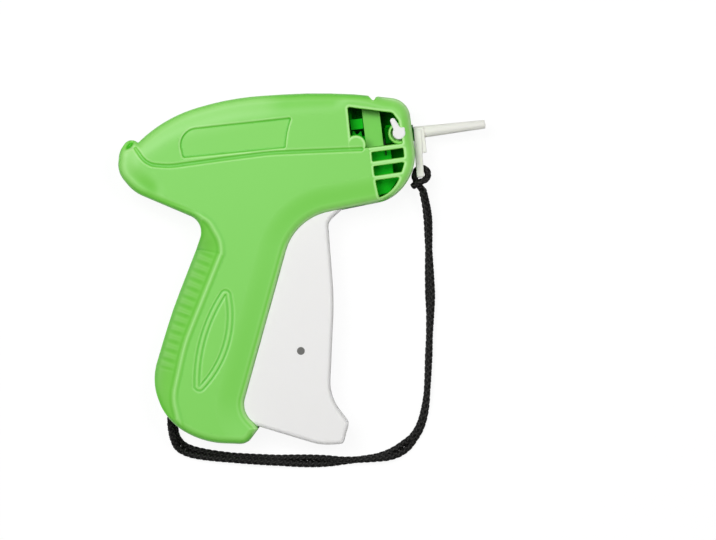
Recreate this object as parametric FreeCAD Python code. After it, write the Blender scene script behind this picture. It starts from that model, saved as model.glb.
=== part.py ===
import FreeCAD, Part
import math
import os

from FreeCAD import Vector

# Garment tag attacher, lying on its left side. All lengths in millimetres.
# X runs along the needle towards its point, Y towards the top of the tool and
# Z from the left face to the right face. The origin is on the trigger's pivot
# axis, at the left face.

os.makedirs("parts", exist_ok=True)

# ---------------------------------------------------------------- driving sizes

# casing
thickness = 27.0          # over both halves
middle = thickness / 2    # height of the joint between the halves
wall = 2.0
edge_round = 3.4          # rounding of the outer edges
back_slope = 20.0         # degrees that the handle's back leaves its ridge at
back_bend = 19.5          # radius that it bends down with
back_reach = 11.5         # from the ridge to past the outline
grip_count = 14           # grooves across the handle's back
grip_pitch = 4.1
grip_width = 1.2
grip_depth = 0.5
step_width = 1.1          # moulded line along the body
leaf_line_width = 0.8     # each of the two grooves that draw the leaf
leaf_gap = 1.9            # from one groove to the next
relief_depth = 0.6        # panel, line and leaf
pocket_depth = 1.8        # small pocket behind the rear bump
pocket_radius = 1.0
post_radius = 2.7         # posts that join the two halves
dowel_radius = 1.3
dowel_length = 4.0

# fits
pin_clearance = 0.05      # radial, between a pin and a bore that turns on it
side_gap = 0.3            # between neighbours that move past each other

# trigger
trigger_width = 20.0
trigger_wall = 2.0
trigger_round = 1.8
trigger_hub_radius = 3.9
trigger_pin_radius = 1.75
squeeze = 20.0            # degrees of trigger travel
trigger_hub_gap = 0.5     # between the spring and the cheeks' hollow

# linkage
link_pin_x = -30.4
link_pin_y = -65.7
link_pin_radius = 1.7
link_length = 27.0
link_angle = 158.0        # rest angle of the link, degrees from +X
link_width = 7.0
fork_before = 18.0        # cut between the prongs: where it starts on the link
fork_after = 12.0         # and how far past the pin it runs
fork_root = 8.5           # radius of the solid left round the link pin
lever_pivot_x = -60.5
lever_pivot_y = -27.0
lever_thick = 4.0
lever_hub_radius = 5.0
lever_hub_width = 8.0
lever_pin_radius = 1.9
lever_post_radius = 3.2
lever_end_radius = 4.0
lever_knee = (-57.0, -8.0)  # bend of the upper arm, round the web of the hand
lever_ratio = 2.303       # lever turn for each degree of trigger
link_ratio = 1.036        # link turn, seen from the casing
joint_pin_radius = 1.5    # pin between lever and link
joint_play = 0.95         # radial play of the link's hole on that pin
joint_offset_along = -0.59
joint_offset_across = 0.5
prong_inner = 2.3         # from the middle plane to the near and far face of a prong
prong_outer = 5.5
spring_bore = 2.9
spring_play = 0.1
spring_wire = 0.6         # radius of the wire
spring_turns = 4
spring_leg = [(-2.6, 2.4), (-14.8, -9.8), (-15.8, -24.0)]
spring_stop = (-12.7, 5.9)
slot_play = 0.6           # play of the drive pin across the lever's slot

# slide and rod
slide_rear = 11.5         # from the drive pin back to the slide's end
slide_front = 23.5        # and forward to its nose
slide_height = 11.0
slide_width = 12.0
drive_pin_radius = 2.0
rail_thick = 1.2
rod_radius = 0.6
rod_tip_x = 7.0
rod_seat = 8.0            # length of rod held in the slide
slide_slot_rear = 8.6     # room for the lever's arm behind the drive pin
slide_slot_front = 12.6   # and in front of it
rail_rear_x = -94.0

# needle
needle_y = 22.5
needle_radius = 1.1
needle_bore = 0.75
needle_slit = 0.8
needle_tip_x = 55.5
needle_bevel = 4.0
hub_back_x = 17.4
hub_height = 7.0
hub_width = 8.0
spigot_radius = 1.9
spigot_length = 3.2
nose_x = 29.4             # front face of the casing at the needle

# needle cover
cover_gap = 0.4
cover_tip_x = 61.3
cover_root_radius = 2.7
cover_tip_radius = 1.9
cover_bore = 1.3
strap_thick = 2.8
strap_width = 7.2
strap_foot_y = 2.8
tab_reach = 4.6
tab_foot_y = 13.3
cord_radius = 1.9
cord_hole_play = 0.6
eye_radius = 2.2
eye_rim = 1.5
loop_radius = 2.85
loop_cord_radius = 1.2
loop_centre = (31.8, 3.55, middle)
knot_radius = 2.8
knot_centre = (30.5, -0.3, middle)
anchor_radius = 3.4

# feed
wheel_x = 4.4
wheel_y = 20.2
wheel_radius = 6.4
wheel_root = 4.9
wheel_teeth = 12
wheel_thick = 2.5
wheel_low_z = 9.6
axle_radius = 1.2
guide_back_x = 8.6
guide_front_x = 16.1
guide_wall = 0.8
guide_foot_y = 18.6
guide_top_y = 35.4
guide_near_z = 16.5       # side of the guide that faces the window
wheel_gap_angle = 200.0
pawl_x = -6.0
pawl_y = 26.2
pawl_knee = (-4.4, 18.6)
pawl_finger = 0.42
detent_x = 2.25
detent_thick = 0.5
detent_tip_y = 25.6
detent_top_y = 36.0
knife_x = 16.4
knife_thick = 0.6
knife_foot_y = 14.2
knife_low_z = 8.0
knife_high_z = 17.0
clip_mid = 12.35

# lock knob and its ring
ring_radius = 4.65
ring_floor_z = 19.4
ring_top_z = 25.6
knob_head_radius = 2.8
knob_stem_radius = 2.0
knob_tail_tip = (21.3, 28.4)
knob_tail_root = 1.8
knob_tail_end = 1.2
knob_lobe_tip = (25.1, 24.2)
knob_lobe_root = 1.9
knob_lobe_end = 1.0
filament_slot = 2.4

# ------------------------------------------------------------------ worked out

trigger_low = middle - trigger_width / 2
trigger_high = middle + trigger_width / 2

# outline of the casing: corners (x, y, corner radius)
rear_notch = [(-93.0, 35.4, 3.8), (-89.5, 32.6, 0)]
top_line = [(-76.5, 42.0, 60.5), (-47.5, 47.0, 121.5), (-4.0, 44.5, 238.5)]
nose = [(29.0, 36.8, 9.0), (nose_x, 3.0, 21.5), (15.0, -5.3, 16.0)]
crotch = [(-26.0, -8.5, 24.0)]
toe = [(-59.0, -88.0, 9.5), (-52.6, -96.8, 0), (-58.5, -103.0, 4.0)]
heel = [(-77.5, -100.0, 36.5), (-92.0, -88.5, 26.0)]
handle_back = [(-96.5, -70.5, 24.0), (-83.5, -41.0, 173.5)]
web_of_hand = [(-64.5, -5.5, 7.5)]
tail = [(-94.0, 11.5, 17.5), (-100.0, 21.0, 10.5), (-98.0, 30.0, 9.5)]
casing_outline = (rear_notch + top_line + nose + crotch + toe + heel
                  + handle_back + web_of_hand + tail)

link_pin = Vector(link_pin_x, link_pin_y, 0)
lever_pivot = Vector(lever_pivot_x, lever_pivot_y, 0)
lever_foot = link_pin + Vector(math.cos(math.radians(link_angle)),
                               math.sin(math.radians(link_angle)), 0) * link_length
lever_swing = squeeze * lever_ratio
lever_lean = lever_swing / 2
lever_rise = needle_y - lever_pivot.y
drive_x = lever_pivot.x - lever_rise * math.tan(math.radians(lever_lean))
slide_travel = 2 * (lever_pivot.x - drive_x)


# --------------------------------------------------------------------- helpers

def corner_path(corners, closed):
    """Straight runs joined by tangent arcs, from (x, y, radius) corners."""
    count = len(corners)
    feet = []
    for i, (x, y, radius) in enumerate(corners):
        here = Vector(x, y, 0)
        if (not closed and i in (0, count - 1)) or radius <= 0:
            feet.append((here, None, here))
            continue
        back = (Vector(*corners[i - 1][:2], 0) - here).normalize()
        ahead = (Vector(*corners[(i + 1) % count][:2], 0) - here).normalize()
        half_turn = back.getAngle(ahead) / 2
        run = radius / math.tan(half_turn)
        bisector = (back + ahead).normalize()
        crown = here + bisector * (radius / math.sin(half_turn) - radius)
        feet.append((here + back * run, crown, here + ahead * run))
    edges = []
    for i, (start, crown, end) in enumerate(feet):
        if crown is not None:
            edges.append(Part.Arc(start, crown, end).toShape())
        if i == count - 1 and not closed:
            break
        following = feet[(i + 1) % count][0]
        if end.distanceToPoint(following) > 1e-4:
            edges.append(Part.LineSegment(end, following).toShape())
    return Part.Wire(edges)


def plate(corners, low, high):
    """A closed outline of rounded corners, extruded from low to high."""
    face = Part.Face(corner_path(corners, True))
    face.translate(Vector(0, 0, low))
    return face.extrude(Vector(0, 0, high - low))


def prism(points, low, high):
    """A plate with sharp corners."""
    return plate([(x, y, 0) for x, y in points], low, high)


def ribbon(corners, width, low, high):
    """A band of constant width along an open path."""
    face = Part.Face(corner_path(corners, False).makeOffset2D(width / 2))
    face.translate(Vector(0, 0, low))
    return face.extrude(Vector(0, 0, high - low))


def post(x, y, radius, low, high):
    return Part.makeCylinder(radius, high - low, Vector(x, y, low))


def block(x0, x1, y0, y1, z0, z1):
    return Part.makeBox(x1 - x0, y1 - y0, z1 - z0, Vector(x0, y0, z0))


def rod(start_x, end_x, y, z, radius):
    return Part.makeCylinder(radius, end_x - start_x, Vector(start_x, y, z), Vector(1, 0, 0))


def bar(start, end, start_radius, end_radius, low, high):
    """A flat arm with round ends of two radii and straight tangent flanks."""
    a = Vector(start.x, start.y, 0)
    b = Vector(end.x, end.y, 0)
    along = b - a
    length = along.Length
    along.normalize()
    across = Vector(-along.y, along.x, 0)
    lean = math.asin((start_radius - end_radius) / length)
    up = across * math.cos(lean) + along * math.sin(lean)
    down = across * -math.cos(lean) + along * math.sin(lean)
    corners = [a + up * start_radius, b + up * end_radius,
               b + down * end_radius, a + down * start_radius]
    body = prism([(p.x, p.y) for p in corners], low, high)
    return body.fuse([post(a.x, a.y, start_radius, low, high),
                      post(b.x, b.y, end_radius, low, high)]).removeSplitter()


def mirrored(shape):
    """The same form on the other side of the middle plane."""
    return shape.mirror(Vector(0, 0, middle), Vector(0, 0, 1))


def save(name, shape):
    shape = shape.removeSplitter() if shape.ShapeType != "Compound" else shape
    shape.exportStep("parts/" + name + ".step")
    box = shape.BoundBox
    print("%-22s solids %d valid %s volume %9.1f  x %.1f..%.1f y %.1f..%.1f z %.1f..%.1f" % (
        name, len(shape.Solids), shape.isValid(), shape.Volume,
        box.XMin, box.XMax, box.YMin, box.YMax, box.ZMin, box.ZMax))


def cord_line(points):
    """Straight runs joined by the largest tangent arcs that two runs leave room for."""
    places = [Vector(*p) for p in points]
    feet = [(places[0], None, places[0])]
    bends = []
    for i in range(1, len(places) - 1):
        here = places[i]
        back = places[i - 1] - here
        ahead = places[i + 1] - here
        reach = 0.45 * min(back.Length, ahead.Length)
        back.normalize()
        ahead.normalize()
        half_turn = back.getAngle(ahead) / 2
        radius = reach * math.tan(half_turn)
        crown = here + (back + ahead).normalize() * (radius / math.sin(half_turn) - radius)
        feet.append((here + back * reach, crown, here + ahead * reach))
        bends.append(radius)
    feet.append((places[-1], None, places[-1]))
    edges = []
    for i, (start, crown, end) in enumerate(feet):
        if crown is not None:
            edges.append(Part.Arc(start, crown, end).toShape())
        if i < len(feet) - 1:
            edges.append(Part.LineSegment(end, feet[i + 1][0]).toShape())
    return Part.Wire(edges), bends


def cord_tube(points, radius):
    """A round tube along the cord's line."""
    line, bends = cord_line(points)
    start = Vector(*points[0])
    section = Part.Wire(Part.makeCircle(radius, start, Vector(*points[1]) - start))
    return line.makePipeShell([section], True, False)


# centre line of the cord, from the anchor in the handle to the knot at the strap
cord_points = [(-85.7, -80.2, middle), (-88.6, -87.6, middle), (-89.8, -93.8, 8.8),
               (-88.8, -98.9, 3.6), (-83.8, -103.0, 1.95), (-74.5, -106.0, 1.95),
               (-59.0, -109.4, 1.95), (-38.0, -112.4, 1.95), (-16.5, -114.9, 1.95),
               (-0.5, -115.0, 1.95), (10.5, -110.2, 1.95), (18.4, -99.8, 1.95),
               (23.2, -83.0, 1.95), (26.4, -62.0, 1.95), (28.5, -42.0, 1.95),
               (30.4, -26.0, 2.0), (31.2, -15.5, 5.6), (30.7, -8.2, 11.6),
               (30.7, -2.6, middle)]


# ---------------------------------------------------------------------- casing

inner_face = thickness - wall
ridge_line = [(-88.0, 7.0, 0), (-53.6, -8.5, 12.0), (-80.0, -56.5, 70.0),
              (-87.9, -79.0, 20.0), (-86.2, -94.5, 0)]
grip_start = (-68.3, -12.6)     # outer end of the first groove, on the outline
grip_end = (-92.0, -61.5)       # and of the last one
step_line = [(-91.0, 29.6, 0), (-87.8, 22.6, 6.0), (-76.0, 19.2, 22.0),
             (-62.0, 19.9, 60.0), (6.4, 17.9, 0)]
panel_outline = [(-72.3, 36.0, 7.5), (-22.0, 35.3, 0.8), (-25.2, 28.0, 40.0),
                 (-26.2, 22.3, 0.8), (-71.0, 23.4, 1.2)]
rear_pocket = [(-94.4, 29.6), (-92.2, 32.2)]
leaf_outline = [(-58.2, -31.4, 2.0), (-57.0, -62.5, 48.0), (-79.4, -80.8, 2.0),
                (-76.6, -52.8, 72.0)]
window_outline = [(2.6, 36.7, 0.6), (16.2, 33.2, 8.0), (21.5, 31.9, 2.5), (23.7, 28.0, 2.0),
                  (24.2, 18.2, 0.6), (2.2, 18.2, 0.6)]
wheel_cover_radius = 4.3
grille_slots = [
    [(10.5, 15.9, 0.5), (24.3, 16.1, 0.5), (24.2, 12.2, 0.5), (10.4, 12.0, 0.5)],
    [(10.6, 9.8, 0.5), (24.1, 10.0, 0.5), (22.3, 6.0, 0.5), (10.6, 5.7, 0.5)],
    [(10.7, 3.7, 0.5), (21.3, 3.8, 0.5), (17.2, -2.2, 14.0), (11.4, -3.8, 0.5)]]
clip_notch = [(11.0, 41.5), (14.0, 37.6), (17.5, 41.5)]
clip_x = (9.4, 15.3)
clip_z = (5.0, 15.2)
waste_x = (8.0, 19.0)       # mouth below, wider so that the spent bar drops free
knob_x = 23.3
knob_y = 22.8
knob_reach = math.hypot(knob_lobe_tip[0] - knob_x, knob_lobe_tip[1] - knob_y) + knob_lobe_end
joining_posts = [(-89.0, 12.8), (-60.0, 37.8), (-20.0, 38.0), (-28.0, 9.4), (2.6, 8.2),
                 (-73.0, -93.6)]
trigger_gate = [(5.0, -14.0), (5.0, -2.4), (-22.0, -2.6), (-31.0, -9.0), (-64.5, -86.0),
                (-62.0, -95.8), (-50.0, -101.0), (-10.0, -101.0)]


def back_rounding(inset):
    """Waste above the handle's back on the right half, swept along the ridge."""
    path = corner_path(ridge_line, False)
    start = path.Vertexes[0].Point
    along = (Vector(*ridge_line[1][:2], 0) - Vector(*ridge_line[0][:2], 0)).normalize()
    out = Vector(along.y, -along.x, 0)
    slope = math.radians(back_slope)
    hub_out = -back_bend * math.sin(slope)
    hub_height = thickness - back_bend * math.cos(slope)
    last = math.asin((back_reach - hub_out) / back_bend)
    radius = back_bend - inset

    def at(outward, height):
        return start + out * outward + Vector(0, 0, height)

    def on_arc(angle):
        return at(hub_out + radius * math.sin(angle), hub_height + radius * math.cos(angle))

    ridge = on_arc(slope)
    foot = on_arc(last)
    lid = Vector(0, 0, thickness + 2)
    ridge_lid = Vector(ridge.x, ridge.y, 0) + lid
    foot_lid = Vector(foot.x, foot.y, 0) + lid
    edges = [Part.Arc(foot, on_arc((slope + last) / 2), ridge).toShape(),
             Part.LineSegment(ridge, ridge_lid).toShape(),
             Part.LineSegment(ridge_lid, foot_lid).toShape(),
             Part.LineSegment(foot_lid, foot).toShape()]
    return path.makePipeShell([Part.Wire(edges)], True, False)


def grip_grooves():
    """Row of shallow grooves across the handle's back, square to it, on the right half."""
    first = Vector(*grip_start, 0)
    run = Vector(*grip_end, 0) - first
    along = run.normalize()
    inward = Vector(-along.y, along.x, 0)
    half = grip_width / 2
    depth = back_rounding(grip_depth)
    grooves = []
    for k in range(grip_count):
        outer = first + along * (k * grip_pitch) - inward * grip_width
        inner = outer + inward * (back_reach - 2)
        slot = bar(outer, inner, half, half, middle, thickness + 1)
        grooves.append(slot.common(depth))
    return grooves


def half_shell():
    """The plain right half: rounded outside, hollow, open at the middle plane."""
    outer = plate(casing_outline, middle, thickness)
    rim = [e for e in outer.Edges if e.BoundBox.ZMin > thickness - 0.01]
    outer = outer.makeFillet(edge_round, rim)
    outer = outer.cut(back_rounding(0))
    face = Part.Face(corner_path(casing_outline, True))
    room = Part.Face(face.OuterWire.makeOffset2D(-wall))
    room.translate(Vector(0, 0, middle - 1))
    room = room.extrude(Vector(0, 0, inner_face - middle + 1))
    return outer.cut(room.cut(back_rounding(wall)))


def shell_furniture():
    """Bosses, posts and ribs that both halves carry, on the right half."""
    lever_clear = middle + lever_thick / 2 + 0.5
    hub_face = middle + lever_hub_width / 2 + side_gap
    rail_y = slide_height / 2 + side_gap
    front = slide_front + drive_x + slide_travel + 1.5
    pieces = [post(0, 0, trigger_hub_radius, trigger_high + side_gap, inner_face),
              post(lever_pivot.x, lever_pivot.y, lever_post_radius, hub_face, inner_face)]
    for side in (-1, 1):
        inner = needle_y + side * rail_y
        outer = inner + side * rail_thick
        pieces.append(block(rail_rear_x, front, min(inner, outer), max(inner, outer),
                            lever_clear, inner_face))
    pieces.append(block(rail_rear_x, front, needle_y - 1.5, needle_y + 1.5,
                        middle + slide_width / 2 + side_gap, inner_face))
    pieces.append(block(front + 2.5, front + 5.5, needle_y - 3, needle_y + 3,
                        middle, inner_face))
    for x, y in joining_posts:
        pieces.append(post(x, y, post_radius, middle, inner_face))
    return pieces


def shell_bores():
    """Blind seats of the pins and the bore of the rod's guide, on the right half."""
    front = slide_front + drive_x + slide_travel + 1.5
    return [post(0, 0, trigger_pin_radius, middle, thickness - 1),
            post(lever_pivot.x, lever_pivot.y, lever_pin_radius, middle, inner_face - 1.5),
            rod(front, front + 7, needle_y, middle, rod_radius + 0.1),
            block(nose_x - 4, nose_x + 4, needle_y - hub_height / 2,
                  needle_y + hub_height / 2, middle - hub_width / 2, middle + hub_width / 2),
            prism(trigger_gate, middle - 1, trigger_high + 0.4),
            prism(clip_notch, middle - 1, thickness + 1)]


def relief():
    """Shallow recesses of the side face: leaf of two grooves, line, panel and pocket."""
    low = thickness - relief_depth
    high = thickness + 1
    leaf = Part.Face(corner_path(leaf_outline, True)).OuterWire
    grooves = []
    for inset in (leaf_line_width, leaf_gap + leaf_line_width):
        island = Part.Face(leaf.makeOffset2D(-inset))
        groove = Part.Face(leaf.makeOffset2D(leaf_line_width - inset)).cut(island)
        groove.translate(Vector(0, 0, low))
        grooves.append(groove.extrude(Vector(0, 0, high - low)))
    pocket = [Vector(*end, 0) for end in rear_pocket]
    return grooves + [
        ribbon(step_line, step_width, low, high), plate(panel_outline, low, high),
        bar(pocket[0], pocket[1], pocket_radius, pocket_radius, thickness - pocket_depth, high)]


def cord_exit():
    """Channel that the cord leaves the heel through."""
    return cord_tube(cord_points[:5], cord_radius + cord_hole_play)


def dowels(low, grow):
    """The pins on the left half, or with grow their sockets in the right half."""
    return [post(x, y, dowel_radius + grow, low, middle + dowel_length + grow)
            for x, y in joining_posts]


def housing_right():
    shell = half_shell().fuse(shell_furniture())
    low = inner_face - 1.5
    window = plate(window_outline, low, thickness + 1)
    window = window.cut(post(wheel_x - 0.2, wheel_y - 0.3, wheel_cover_radius, low, thickness + 1))
    ring = post(knob_x, knob_y, ring_radius, ring_floor_z, ring_top_z)
    shell = shell.cut([window] + [plate(slot, low, thickness + 1) for slot in grille_slots])
    shell = shell.fuse([ring, block(nose_x - 3.8, nose_x - 1.8, needle_y - hub_height / 2,
                                    needle_y + hub_height / 2, middle + hub_width / 2,
                                    inner_face)])
    shell = shell.cut([post(knob_x, knob_y, knob_reach + side_gap, ring_floor_z + 2.2,
                            thickness + 1),
                       post(knob_x, knob_y, knob_stem_radius + pin_clearance,
                            ring_floor_z - 3, thickness)])
    shell = shell.cut(relief() + grip_grooves() + shell_bores() + dowels(middle - 1, 0))
    shell = shell.cut(cord_exit())
    shell = shell.cut(block(clip_x[0], clip_x[1], 33, 48, middle - 1, clip_z[1]))
    shell = shell.cut(block(waste_x[0], waste_x[1], -14, 0, middle - 1, clip_z[1]))
    return shell


def housing_left():
    shell = half_shell().fuse(shell_furniture())
    shell = shell.cut(relief() + grip_grooves() + shell_bores())
    shell = mirrored(shell)
    seat_top = wheel_low_z - side_gap
    hub_low = middle - hub_width / 2
    shell = shell.fuse(dowels(middle - 2, 0))
    low_y = needle_y - hub_height / 2
    high_y = needle_y + hub_height / 2
    seat = [post(wheel_x, wheel_y, 2.6, wall, seat_top),
            post(pawl_x, pawl_y, 2.3, wall, seat_top),
            post(spring_stop[0], spring_stop[1], 1.6, wall, middle),
            block(hub_back_x + 0.6, hub_back_x + 2.6, low_y, high_y, wall, hub_low),
            block(nose_x - 3.8, nose_x - 1.8, low_y, high_y, wall, hub_low),
            block(hub_back_x + 0.6, nose_x - 0.8, low_y - rail_thick, low_y, wall, middle),
            block(hub_back_x + 0.6, nose_x - 0.8, high_y, high_y + rail_thick, wall, middle),
            block(knife_x - 1.0, knife_x + knife_thick + 1.0, knife_foot_y - 1.2,
                  knife_foot_y + 2.6, wall, middle),
            block(detent_x - 1.2, detent_x + detent_thick + 1.2, detent_top_y - 4.5,
                  detent_top_y, wall, wheel_low_z + wheel_thick)]
    shell = shell.fuse(seat)
    shell = shell.cut([
        cord_exit(),
        post(wheel_x, wheel_y, axle_radius, wall + 2, middle),
        post(pawl_x, pawl_y, axle_radius, wall + 2, middle),
        block(knife_x, knife_x + knife_thick, knife_foot_y, needle_y, knife_low_z, middle + 1),
        block(detent_x, detent_x + detent_thick, detent_top_y - 6, detent_top_y + 1,
              wheel_low_z, middle + 1),
        block(clip_mid - filament_slot / 2, clip_mid + filament_slot / 2, needle_y - 2, 50,
              -1, wall + 0.5),
        block(clip_mid - filament_slot / 2, clip_mid + filament_slot / 2, 34, 50,
              -1, clip_z[0] + 1),
        block(clip_x[0], clip_x[1], 33, 50, clip_z[0], middle + 1),
        block(waste_x[0], waste_x[1], -14, 0, clip_z[0], middle + 1)])
    return shell


# ------------------------------------------------------------ trigger and linkage

trigger_outline = [(-3.5, -5.5, 1.0), (-12.0, -11.5, 5.0), (-13.5, -45.5, 130.0),
                   (-20.5, -87.0, 19.5), (-13.5, -99.5, 2.5), (-17.0, -108.0, 2.0),
                   (-26.5, -107.5, 26.0), (-58.6, -93.4, 2.5), (-61.0, -87.5, 4.0),
                   (-27.9, -7.9, 6.0), (-2.0, 3.2, 2.0), (3.2, -1.8, 1.0)]


def trigger():
    """One moulding: front wall and two cheeks, open behind."""
    leg_room = spring_wire + side_gap
    body = plate(trigger_outline, trigger_low, trigger_high)
    rims = [e for e in body.Edges if e.BoundBox.ZLength < 0.01]
    body = body.makeFillet(trigger_round, rims)
    face = Part.Face(corner_path(trigger_outline, True))
    room = Part.Face(face.OuterWire.makeOffset2D(-trigger_wall))
    room.translate(Vector(0, 0, trigger_low + trigger_wall))
    room = room.extrude(Vector(0, 0, trigger_width - 2 * trigger_wall))
    behind = room.copy()
    behind.translate(Vector(-5.0, 2.0, 0))
    body = body.cut(room.fuse(behind))
    ears = [post(0, 0, trigger_hub_radius, trigger_low, trigger_low + trigger_wall),
            post(0, 0, trigger_hub_radius, trigger_high - trigger_wall, trigger_high),
            post(0, 0, spring_bore, trigger_low, trigger_high)]
    body = body.cut(post(0, 0, spring_bore + 2 * spring_wire + trigger_hub_gap, trigger_low + trigger_wall,
                         trigger_high - trigger_wall))
    body = body.cut(bar(Vector(*spring_leg[0], 0), Vector(*spring_leg[1], 0), leg_room, leg_room,
                        trigger_low + trigger_wall, trigger_high - trigger_wall))
    closed = back_rounding(wall + side_gap)
    closed = closed.fuse(mirrored(closed))
    closed.rotate(Vector(), Vector(0, 0, 1), squeeze)
    body = body.fuse(ears).cut(closed)
    return body.cut([post(0, 0, trigger_pin_radius + pin_clearance, 0, thickness),
                     post(link_pin.x, link_pin.y, link_pin_radius, 0, thickness)])


def link():
    """Clevis between trigger and lever: hub on the link pin, two prongs at the lever."""
    angle = math.radians(link_angle)
    along = Vector(math.cos(angle), math.sin(angle), 0)
    across = Vector(-math.sin(angle), math.cos(angle), 0)
    hole = lever_foot + along * joint_offset_along + across * joint_offset_across
    low = middle - prong_outer
    high = middle + prong_outer
    body = bar(link_pin, hole, link_width / 2 + 0.4, link_width / 2 + 0.4, low, high)
    body = body.fuse(post(link_pin.x, link_pin.y, link_width / 2 + 0.4,
                          trigger_low + trigger_wall + side_gap,
                          trigger_high - trigger_wall - side_gap))
    fork = bar(lever_foot - along * fork_before, lever_foot + along * fork_after,
               link_width, link_width, middle - prong_inner, middle + prong_inner)
    fork = fork.cut(post(link_pin.x, link_pin.y, fork_root, 0, thickness))
    body = body.cut(fork)
    return body.cut([post(link_pin.x, link_pin.y, link_pin_radius + pin_clearance, 0, thickness),
                     post(hole.x, hole.y, joint_pin_radius + joint_play, 0, thickness)])


def lever():
    """Two-armed lever: the lower arm takes the link, the slotted upper arm the slide."""
    lean = math.radians(90 + lever_lean)
    up = Vector(math.cos(lean), math.sin(lean), 0)
    near = lever_pivot + up * (lever_rise - slot_play)
    far = lever_pivot + up * (lever_rise / math.cos(math.radians(lever_lean)) + slot_play)
    low = middle - lever_thick / 2
    high = middle + lever_thick / 2
    slot_radius = drive_pin_radius + slot_play
    knee = Vector(*lever_knee, 0)
    upper = bar(lever_pivot, knee, lever_hub_radius, slot_radius + 1.6, low, high)
    upper = upper.fuse(bar(knee, far, slot_radius + 1.6, slot_radius + 2.2, low, high))
    lower = bar(lever_pivot, lever_foot, lever_hub_radius, lever_end_radius, low, high)
    hub = post(lever_pivot.x, lever_pivot.y, lever_hub_radius, middle - lever_hub_width / 2,
               middle + lever_hub_width / 2)
    body = upper.fuse([lower, hub])
    return body.cut([bar(near, far, slot_radius, slot_radius, 0, thickness),
                     post(lever_pivot.x, lever_pivot.y, lever_pin_radius + pin_clearance,
                          0, thickness),
                     post(lever_foot.x, lever_foot.y, joint_pin_radius, 0, thickness)])


def return_spring():
    """Close-wound torsion spring on the trigger's hub; its leg lies behind the front wall."""
    reach = spring_bore + spring_play
    low = middle - spring_turns * spring_wire
    edges = []
    for turn in range(spring_turns):
        foot = Vector(reach + spring_wire, 0, low + 2 * spring_wire * turn)
        side = foot + Vector(spring_wire, 0, spring_wire)
        head = foot + Vector(0, 0, 2 * spring_wire)
        edges.append(Part.Arc(foot, side, head).toShape())
    first = Vector(reach, 0, low)
    last = Vector(reach, 0, low + 2 * spring_wire * spring_turns)
    edges.append(Part.LineSegment(head, last).toShape())
    edges.append(Part.LineSegment(last, first).toShape())
    edges.append(Part.LineSegment(first, first + Vector(spring_wire, 0, 0)).toShape())
    coil = Part.Face(Part.Wire(edges)).revolve(Vector(0, 0, 0), Vector(0, 0, 1))
    leg = [Vector(x, y, middle - spring_wire) for x, y in spring_leg]
    pieces = [Part.makeSphere(spring_wire, leg[1])]
    for start, end in zip(leg, leg[1:]):
        pieces.append(Part.makeCylinder(spring_wire, (end - start).Length, start, end - start))
    return coil.fuse(pieces)


# ---------------------------------------------------------------- slide and rod

def slide():
    """Carrier of the rod, split along its middle for the lever's arm."""
    low = middle - slide_width / 2
    body = block(drive_x - slide_rear, drive_x + slide_front, needle_y - slide_height / 2,
                 needle_y + slide_height / 2, low, low + slide_width)
    rims = [e for e in body.Edges if e.BoundBox.XLength > 1]
    body = body.makeFillet(1.0, rims)
    gap = block(drive_x - slide_slot_rear, drive_x + slide_slot_front,
                needle_y - slide_height, needle_y + slide_height,
                middle - lever_thick / 2 - side_gap, middle + lever_thick / 2 + side_gap)
    front = drive_x + slide_front
    return body.cut([gap, post(drive_x, needle_y, drive_pin_radius, 0, thickness),
                     rod(front - rod_seat, front + 1, needle_y, middle, rod_radius)])


def ejector_rod():
    front = drive_x + slide_front
    return rod(front - rod_seat, rod_tip_x, needle_y, middle, rod_radius)


# ---------------------------------------------------------------- needle and nose

def needle_hub():
    low = middle - hub_width / 2
    body = block(hub_back_x, nose_x + 0.4, needle_y - hub_height / 2,
                 needle_y + hub_height / 2, low, low + hub_width)
    body = body.makeFillet(0.8, [e for e in body.Edges if e.BoundBox.XLength > 1])
    body = body.fuse(rod(nose_x, nose_x + 0.4 + spigot_length, needle_y, middle, spigot_radius))
    return body.cut(rod(hub_back_x - 1, needle_tip_x, needle_y, middle, needle_radius))


def needle():
    """Tube with a slit along its left side, for the tag's filament, and a bevelled point."""
    body = rod(hub_back_x, needle_tip_x, needle_y, middle, needle_radius)
    body = body.cut(rod(hub_back_x - 1, needle_tip_x + 1, needle_y, middle, needle_bore))
    slit = block(nose_x + 0.4 + spigot_length, needle_tip_x + 1, needle_y - needle_slit / 2,
                 needle_y + needle_slit / 2, middle - 2, middle)
    tip = prism([(needle_tip_x - needle_bevel, needle_y + needle_radius + 0.1),
                 (needle_tip_x + 1, needle_y + needle_radius + 0.1),
                 (needle_tip_x + 1, needle_y - needle_radius - 0.1),
                 (needle_tip_x, needle_y - needle_radius - 0.1)], middle - 2, middle + 2)
    return body.cut([slit, tip])


def knife_blade():
    """Steel blade behind the needle; its bevelled edge faces up."""
    top = needle_y - rod_radius - side_gap
    body = block(knife_x, knife_x + knife_thick, knife_foot_y, top, knife_low_z, knife_high_z)
    bevel = Part.Face(Part.makePolygon([
        Vector(knife_x, top + 0.1, 0), Vector(knife_x + knife_thick * 0.7, top + 0.1, 0),
        Vector(knife_x, top - 1.2, 0), Vector(knife_x, top + 0.1, 0)]))
    return body.cut(bevel.extrude(Vector(0, 0, thickness)))


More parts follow.
